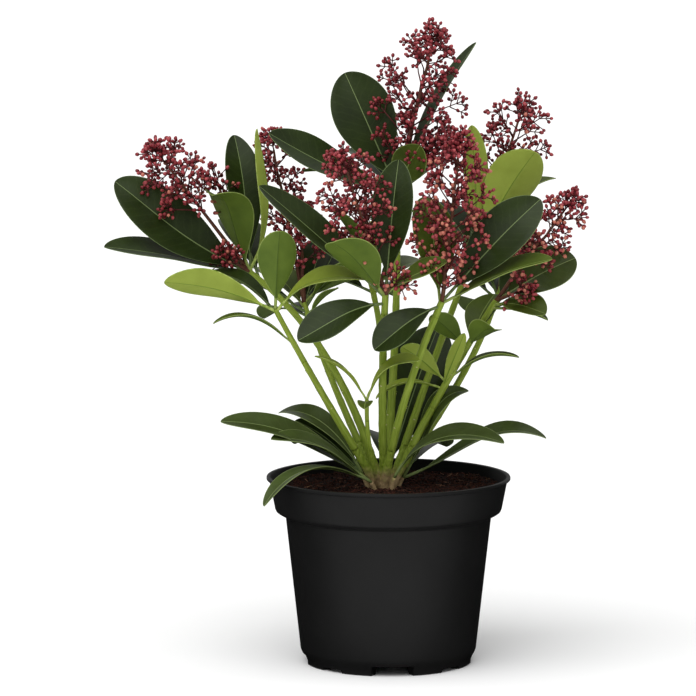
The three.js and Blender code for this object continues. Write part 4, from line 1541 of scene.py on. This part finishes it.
# Leaves of each stem: from its tip down to the leaf's foot, reach, width, lift, droop, the way its
# upper side looks, and its age.
LEAVES = {
    "left_low": [
        Leaf(2, (-85, -12, 24), 32, 14, 14, (0, 1, 1), YOUNG),
        Leaf(0, (4, -24, 62), 30, 4, 14, UP, MATURE),
        Leaf(2, (68, -6, 25), 30, 36, 34, (0, -0.3, 1), YOUNG),
        Leaf(34, (-63, -8, 19), 16, 30, 45, UP, MATURE),
        Leaf(5, (-56, 28, 30), 30, 18, 26),
    ],
    "left_high": [
        Leaf(8, (-110, 0, 75), 44, 4, 10, (0.3, -1, 0.5), OLD, -0.055),
        Leaf(4, (-114, -26, 24), 38, 2, 6, (0, -0.35, 1)),
        Leaf(2, (-29, -32, 63), 42, 8, 58, UP, MATURE, 0.08),
        Leaf(14, (-62, 40, 14), 34, 15, 22),
        Leaf(2, (-14, 34, 105), 30, 4, 16),
        Leaf(0, (6, 14, 110), 26, -25, -14, (-1, 0.25, 0), YOUNG),
        Leaf(10, (-26, 70, 40), 34, 15, 25),
    ],
    "centre_front": [
        Leaf(8, (-66, -20, -26), 32, 28, 8, (-0.3, -1, 0.9)),
        Leaf(2, (-40, -42, 45), 38, 8, 18, (0.3, 0.9, 0.8), MATURE),
        Leaf(0, (10, 16, 101), 32, 4, 10, (-0.2, -1, 0.1)),
        Leaf(3, (-96, 14, 84), 36, 2, 2, (0.2, -0.45, 1)),
        Leaf(0, (46, -16, 26), 26, 14, 6, (0, -0.5, 1), MATURE),
    ],
    "centre_right": [
        Leaf(4, (-50, -14, -32), 30, 22, 10, (-0.3, -1, 0.9)),
        Leaf(2, (84, -10, 35), 34, 5, 12, (0, -0.25, 1), MATURE),
        Leaf(0, (75, 12, 77), 40, 4, 12, (-0.2, -1, 0.5)),
        Leaf(3, (-12, 28, 80), 36, 5, 15, UP, MATURE),
    ],
    "right": [
        Leaf(4, (40, -20, -5), 30, 20, 14, (0, -0.5, 1), MATURE),
        Leaf(7, (44, -4, -9), 27, 14, 12, UP, MATURE),
        Leaf(0, (62, 10, 32), 38, 8, 14, (-0.2, -1, 0.6), SHADED),
        Leaf(3, (44, 52, 26), 36, 15, 25),
        Leaf(43, (-28, -8, 26), 20, 10, 15, (0, 0.9, 0.6), MATURE),
        Leaf(42, (22, 28, 38), 28, 6, 12, UP, MATURE),
        Leaf(42, (21, -16, 15), 28, 20, 45, (0, 0.6, 1), MATURE),
        Leaf(72, (55, -4, 18), 20, 24, 30, UP, MATURE),
        Leaf(84, (18, -18, 49), 11, 10, 5, (0, 1, 0.3), YOUNG),
        Leaf(74, (-35, -12, 29), 18, 10, 20, (0, 1, 0.5), YOUNG),
        Leaf(80, (-52, -6, -7), 18, 32, 34, UP, YOUNG),
    ],
    "top": [
        Leaf(4, (-41, 16, 92), 48, 4, 10, (0, -1, 0.2)),
        Leaf(6, (-100, -4, 48), 40, -6, -6, (0, -0.6, 1)),
        Leaf(0, (17, -24, 34), 28, 10, 20, (0.2, -1, 0.6), MATURE),
        Leaf(4, (62, 34, 115), 26, 5, 8, (-1, -0.4, 0.2)),
        Leaf(8, (-74, 26, 18), 30, 12, 20),
        Leaf(6, (-42, 46, 32), 32, 12, 22),
        Leaf(8, (42, 52, 26), 36, 14, 24, UP, MATURE),
        Leaf(11, (0, 66, 22), 36, 14, 24),
    ],
    "upper_right": [
        Leaf(0, (43, -22, 72), 42, 4, 16, (-0.2, 1, 0.3), YOUNG),
        Leaf(2, (-5, -14, 94), 20, 4, 10, (0.3, 1, 0), YOUNG),
        Leaf(3, (12, 26, 58), 32, 6, 16, UP, MATURE),
        Leaf(6, (64, 34, 53), 30, 8, 30, UP, MATURE),
        Leaf(6, (20, 62, 30), 34, 14, 24),
        Leaf(9, (-36, 50, 34), 34, 14, 24),
    ],
    "back_left": [
        Leaf(2, (18, 24, 52), 32, 5, 15),
        Leaf(0, (54, -8, 26), 28, 25, 25, (0, 0.8, 1), MATURE),
        Leaf(4, (38, 22, 42), 32, 8, 18),
        Leaf(10, (24, -10, 22), 18, 10, 15, UP, MATURE),
        Leaf(6, (-42, 52, 28), 34, 14, 24, UP, MATURE),
        Leaf(6, (6, 66, 24), 34, 14, 24),
        Leaf(9, (-64, -2, 24), 34, 14, 24),
        Leaf(12, (-36, 44, -6), 32, 20, 30),
    ],
    "back_centre": [
        Leaf(2, (-60, 30, 44), 38, 10, 22),
        Leaf(2, (20, 64, 44), 38, 10, 22, UP, YOUNG),
        Leaf(5, (-26, 78, 20), 40, 16, 30),
        Leaf(8, (52, 56, 12), 36, 16, 30, UP, MATURE),
        Leaf(4, (34, -10, 60), 34, 8, 20),
        Leaf(12, (-58, 50, -4), 36, 20, 30),
        Leaf(3, (-34, -12, 62), 34, 8, 20, UP, MATURE),
        Leaf(14, (16, 72, -8), 36, 20, 34),
    ],
    "back_right": [
        Leaf(2, (-30, 44, 60), 38, 8, 20),
        Leaf(2, (46, 56, 34), 38, 10, 24, UP, MATURE),
        Leaf(6, (10, 76, 14), 38, 16, 28),
        Leaf(5, (-56, 34, 26), 34, 14, 24),
        Leaf(10, (38, 42, 8), 34, 18, 30),
        Leaf(2, (30, 2, 66), 34, 8, 18, UP, YOUNG),
        Leaf(14, (-14, 60, -10), 34, 20, 34),
        Leaf(13, (40, -14, 4), 30, 20, 30),
    ],
    "young": [
        Leaf(1, (-40, -4, 35), 16, 22, 24, UP, YOUNG),
        Leaf(0, (40, -14, 32), 22, 34, 44, (0, -0.3, 1), YOUNG),
        Leaf(2, (-2, -24, -2), 12, 15, 30, UP, MATURE),
    ],
}

PANICLES = {
    "left_high": [
        Panicle((-76, -14, 101), 0.55, 34, 14, 11),
        Panicle((-31, 8, 86), 0.6, 17, 3, 17, missing=0.3),
        Panicle((-26, -18, 18), 0.5, 21, 3, 19, 0.2, missing=0.45),
    ],
    "centre_front": [
        Panicle((-35, -8, 112), 0.32, 35, 17, 23, 0.2),
        Panicle((14, -12, 18), 0.5, 18, 2, 29, 0.8, missing=0.5),
    ],
    "centre_right": [Panicle((14, -8, 130), 0.14, 37, 27, 37, 0.6, inner=0.5)],
    "right": [
        Panicle((64, 4, 84), 0.4, 27, 12, 41, 0.4, missing=0.2),
        Panicle((30, -16, 14), 0.5, 22, 3, 43, 0.7, missing=0.45),
    ],
    "top": [Panicle((30, -6, 125), 0.2, 42, 25, 53, 0, 2.5), Panicle((40, -20, 42), 0.5, 20, 6, 59)],
    "upper_right": [Panicle((38, 24, 112), 0.5, 36, 14, 61, missing=0.3)],
    "back_left": [Panicle((-28, 10, 138), 0.42, 27, 12, 73), Panicle((-4, -6, 84), 0.4, 24, 7, 79)],
    "back_centre": [Panicle((-4, 26, 84), 0.35, 32, 12, 83)],
    "back_right": [Panicle((14, 20, 78), 0.35, 30, 11, 97)],
}


@dataclass(frozen=True)
class Tuft:
    """Old leaves on a short sucker beside the crown."""

    name: str
    around: float
    rise: float
    leaves: tuple[Leaf, ...]
    foot: float = 13
    out: float = 4
    radius: float = 1.7


TUFTS = [
    Tuft(
        "tuft_left",
        232,
        6,
        (
            Leaf(0, (-116, -18, 50), 28, 14, 26, (0, -0.5, 1), SHADED),
            Leaf(0, (-77, -31, 38), 26, 12, 30, (0, -0.3, 1), SHADED),
            Leaf(0, (-82, -56, -10), 19, 34, 48, UP, SHADED),
        ),
    ),
    Tuft(
        "tuft_back_left",
        170,
        9,
        (
            Leaf(0, (-66, 30, 45), 22, 38, 52, (0, -0.4, 1), SHADED),
            Leaf(0, (-53, 15, 41), 24, 12, 20, (0, -0.5, 1)),
            Leaf(0, (-54, 68, 15), 30, 30, 35),
        ),
    ),
    Tuft("tuft_right", 296, 10, (Leaf(0, (84, -22, 30), 30, 44, 42, (0, -0.3, 1), SHADED),)),
    Tuft(
        "tuft_back_right",
        34,
        6,
        (
            Leaf(0, (112, 1, 31), 28, 4, 42, (0, -0.2, 1), SHADED),
            Leaf(0, (51, -3, 69), 22, 2, 64, (-0.4, -0.6, 1), SHADED),
            Leaf(0, (36, 67, 15), 30, 30, 35),
        ),
    ),
    Tuft(
        "tuft_back",
        84,
        7,
        (Leaf(0, (41, 37, 113), 50, 4, 14, (-0.2, -1, 0.3)), Leaf(0, (4, 82, 17), 32, 28, 36)),
    ),
]


@dataclass
class Skimmia:
    """The plant: crown, stems, and the foliage and panicles at their ends."""

    crown: Crown = field(default_factory=Crown)
    pattern: BladePattern = field(default_factory=BladePattern)
    bark: Finish = ShootBark("green_shoot_bark", "#74882A", "#8C9E3E", 0.5, specular=0.18)
    scar: Finish = PlantTissue("leaf_scar_cork", "#C9C493", "#A9A56B", 0.8)
    # The stalk and twig tones are the wood's own dark red-brown, taken darker still as painted shade between
    # the buds.
    panicle_finishes: tuple[Finish, ...] = (
        PlantTissue("panicle_stalk", "#54302A", "#62402C", 0.5, specular=0.2),
        PlantTissue("panicle_twig", "#48191A", "#5A2624", 0.45, specular=0.25),
    )
    # The calyx tone is the calyx's own dark red, taken darker still as painted shade at the buds' feet,
    # between the buds.
    bud_finishes: tuple[Finish, ...] = (
        PlantTissue("bud_calyx", "#441516", "#56221F", 0.5, specular=0.2),
        PlantTissue("bud_petal_crimson", "#8A2A30", "#6A1B24", 0.34, specular=0.4),
        PlantTissue("bud_petal_rose", "#AC4A4E", "#8C333B", 0.34, specular=0.4),
        PlantTissue("bud_petal_peach", "#C47C66", "#A8584C", 0.34, specular=0.4),
    )

    def __post_init__(self) -> None:
        """Makes the finishes and the shapes that repeat."""
        self.net = self.pattern.model()
        self.bud_shape = model_bud()
        self.scar_shape = model_scar()
        self.bark_materials = [self.bark.material(), self.scar.material()]
        self.twig_materials = [finish.material() for finish in self.panicle_finishes]
        self.bud_materials = [finish.material() for finish in self.bud_finishes]
        self.leaf_materials = {age: LEAF_COLOURS[age].materials(age) for age in Age}

    def stem(self, stem: Stem) -> None:
        """Builds one stem from the crown to its foliage."""
        heap = Heap()
        start = stem.share_at(self.crown.top) - 0.02
        stem.limb(heap, start, stem.bare)
        stem.scars(heap, self.scar_shape, start, stem.bare)
        finished(heap.piece(f"green_stem_{stem.name}", self.bark_materials), "stems", f"stem_{stem.name}")

    def leaves(self, name: str, node: str, spots: Sequence[tuple[np.ndarray, Leaf]]) -> None:
        """Builds the leaves of one mass.

        Args:
            name: The mass's name.
            node: The CAD node that it stands for.
            spots: Each leaf with the place of its foot.
        """
        heap = Heap()
        ages = list(Age)
        for k, (foot, leaf) in enumerate(spots):
            points, grain = leaf.lay(foot, self.net, self.pattern, 101 + k + len(name))
            heap.add(self.net, points, len(LeafSkin) * ages.index(leaf.age), grain)
        materials = [material for age in ages for material in self.leaf_materials[age]]
        finished(heap.piece(f"leaves_{name}", materials), "foliage", node)

    def foliage(self, stem: Stem) -> None:
        """Builds the leafy end of a stem: its twig, its panicles and its whorl of leaves."""
        node = f"foliage_{stem.name}"
        shoot = Heap()
        stem.limb(shoot, stem.bare, 1)
        stem.scars(shoot, self.scar_shape, stem.bare, 1)
        finished(shoot.piece(f"shoot_{stem.name}", self.bark_materials), "foliage", node)
        tip = stem.line.tip
        panicles = PANICLES.get(stem.name, [])
        if panicles:
            wood, buds = Heap(), Heap()
            for panicle in panicles:
                stream = Seeded(panicle.seed * 7919)
                panicle.grow(tip, Bunch(self.bud_shape, wood, buds, stream, missing=panicle.missing))
            finished(wood.piece(f"panicle_twigs_{stem.name}", self.twig_materials), "foliage", node)
            finished(buds.piece(f"panicle_buds_{stem.name}", self.bud_materials), "foliage", node)
        spots = [(stem.line.at(1 - leaf.down / stem.line.length), leaf) for leaf in LEAVES[stem.name]]
        self.leaves(stem.name, node, spots)

    def tuft(self, tuft: Tuft) -> None:
        """Builds a tuft of old leaves with its sucker."""
        end = self.crown.beside(tuft.around, tuft.foot + tuft.out, tuft.rise)
        start = self.crown.beside(tuft.around, tuft.foot - tuft.out / 2, -tuft.rise / 2)
        heap = Heap()
        shares = np.linspace(0, 1, 8)
        path = [start + (end - start) * share for share in shares]
        heap.reed(path, [tuft.radius * mix(1.25, 0.9, share) for share in shares], 12)
        finished(heap.piece(f"sucker_{tuft.name}", self.bark_materials), "foliage", tuft.name)
        self.leaves(tuft.name, tuft.name, [(end, leaf) for leaf in tuft.leaves])

    def build(self) -> None:
        """Builds the whole plant."""
        self.crown.build(STEMS, self.bark_materials[0])
        for stem in STEMS:
            self.stem(stem)
        for stem in STEMS:
            self.foliage(stem)
        for tuft in TUFTS:
            self.tuft(tuft)


# ---------------------------------------------------------------- studio


@dataclass
class Studio:
    """A white floor, soft light from the upper left, and a long lens a little above the plant."""

    camera_place: Point = (-0.0315, -3.0, 0.6)
    camera_pitch: float = 6.73  # degrees below the horizon
    lens: float = 201.4
    floor_size: float = 80.0
    sky: float = 0.6
    sun_from: Point = (-0.35, -0.7, 1.5)
    sun_power: float = 2.3
    sun_spread: float = 70.0  # degrees across, as from a large softbox
    flag_distance: float = 0.6
    flag_size: float = 1.1
    cloth_size: float = 2.4  # square cloth on the floor behind the pot
    cloth_front: float = -0.1  # where it begins, just in front of the pot's middle
    cloth_lift: float = 0.001
    backdrop_distance: float = 0.9
    backdrop_size: float = 0.6  # half of it stands above the floor
    board: Finish = StudioSweep("matt_white_board", "#F8F8F8", "#FAFAFA", 0.9, specular=0.1)
    felt: Finish = StudioSweep("black_felt", "#050505", "#070707", 1.0, specular=0.0)

    def flag(self, name: str, size: float, spot: Point, turn: Point) -> None:
        """Sets up a black flag, which only the sheen of the pot and the leaves sees.

        Args:
            name: The flag's name.
            size: Its width and height.
            spot: Where its middle is.
            turn: How it is turned about X, Y and Z, in radians.
        """
        flag = started(bpy.ops.mesh.primitive_plane_add, name, size=size, location=spot, rotation=turn)
        flag.visible_camera = flag.visible_diffuse = flag.visible_shadow = False
        flag.data.materials.append(self.felt.material())

    def flags(self) -> None:
        """Sets up the flags: one on each side, a cloth on the floor behind, and a low backdrop."""
        upright = math.pi / 2
        for word, side in (("left", -1), ("right", 1)):
            spot = (side * self.flag_distance, 0, 0)
            self.flag(f"black_flag_{word}", self.flag_size, spot, (0, upright, 0))
        middle = self.cloth_front + self.cloth_size / 2
        self.flag("black_cloth", self.cloth_size, (0, middle, self.cloth_lift), (0, 0, 0))
        self.flag("black_backdrop", self.backdrop_size, (0, self.backdrop_distance, 0), (upright, 0, 0))

    def build(self) -> None:
        """Builds the floor, the flags, the lights and the camera."""
        scene = bpy.context.scene
        scene.view_settings.view_transform = "Standard"
        floor = started(bpy.ops.mesh.primitive_plane_add, "studio_floor", size=self.floor_size)
        floor.data.materials.append(self.board.material())
        self.flags()
        world = bpy.data.worlds.new("soft_white_room")
        world.use_nodes = True
        sky = world.node_tree.nodes["Background"]
        sky.inputs["Color"].default_value = (1, 1, 1, 1)
        sky.inputs["Strength"].default_value = self.sky
        scene.world = world
        lamp = bpy.data.lights.new("softbox", "SUN")
        lamp.energy, lamp.angle = self.sun_power, math.radians(self.sun_spread)
        softbox = bpy.data.objects.new("softbox", lamp)
        softbox.rotation_euler = Vector(self.sun_from).to_track_quat("Z", "Y").to_euler()
        scene.collection.objects.link(softbox)
        camera = bpy.data.cameras.new("camera")
        camera.lens, camera.sensor_width, camera.clip_end = self.lens, 36, 200
        holder = bpy.data.objects.new("camera", camera)
        holder.location = self.camera_place
        holder.rotation_euler = (math.radians(90 - self.camera_pitch), 0, 0)
        scene.collection.objects.link(holder)
        scene.camera = holder


def main() -> None:
    """Builds the studio, the pot and the plant."""
    logging.basicConfig(level=logging.INFO, format="%(message)s")
    Studio().build()
    NurseryPot().build()
    PottingMix().build()
    Skimmia().build()


if __name__ == "__main__":
    main()
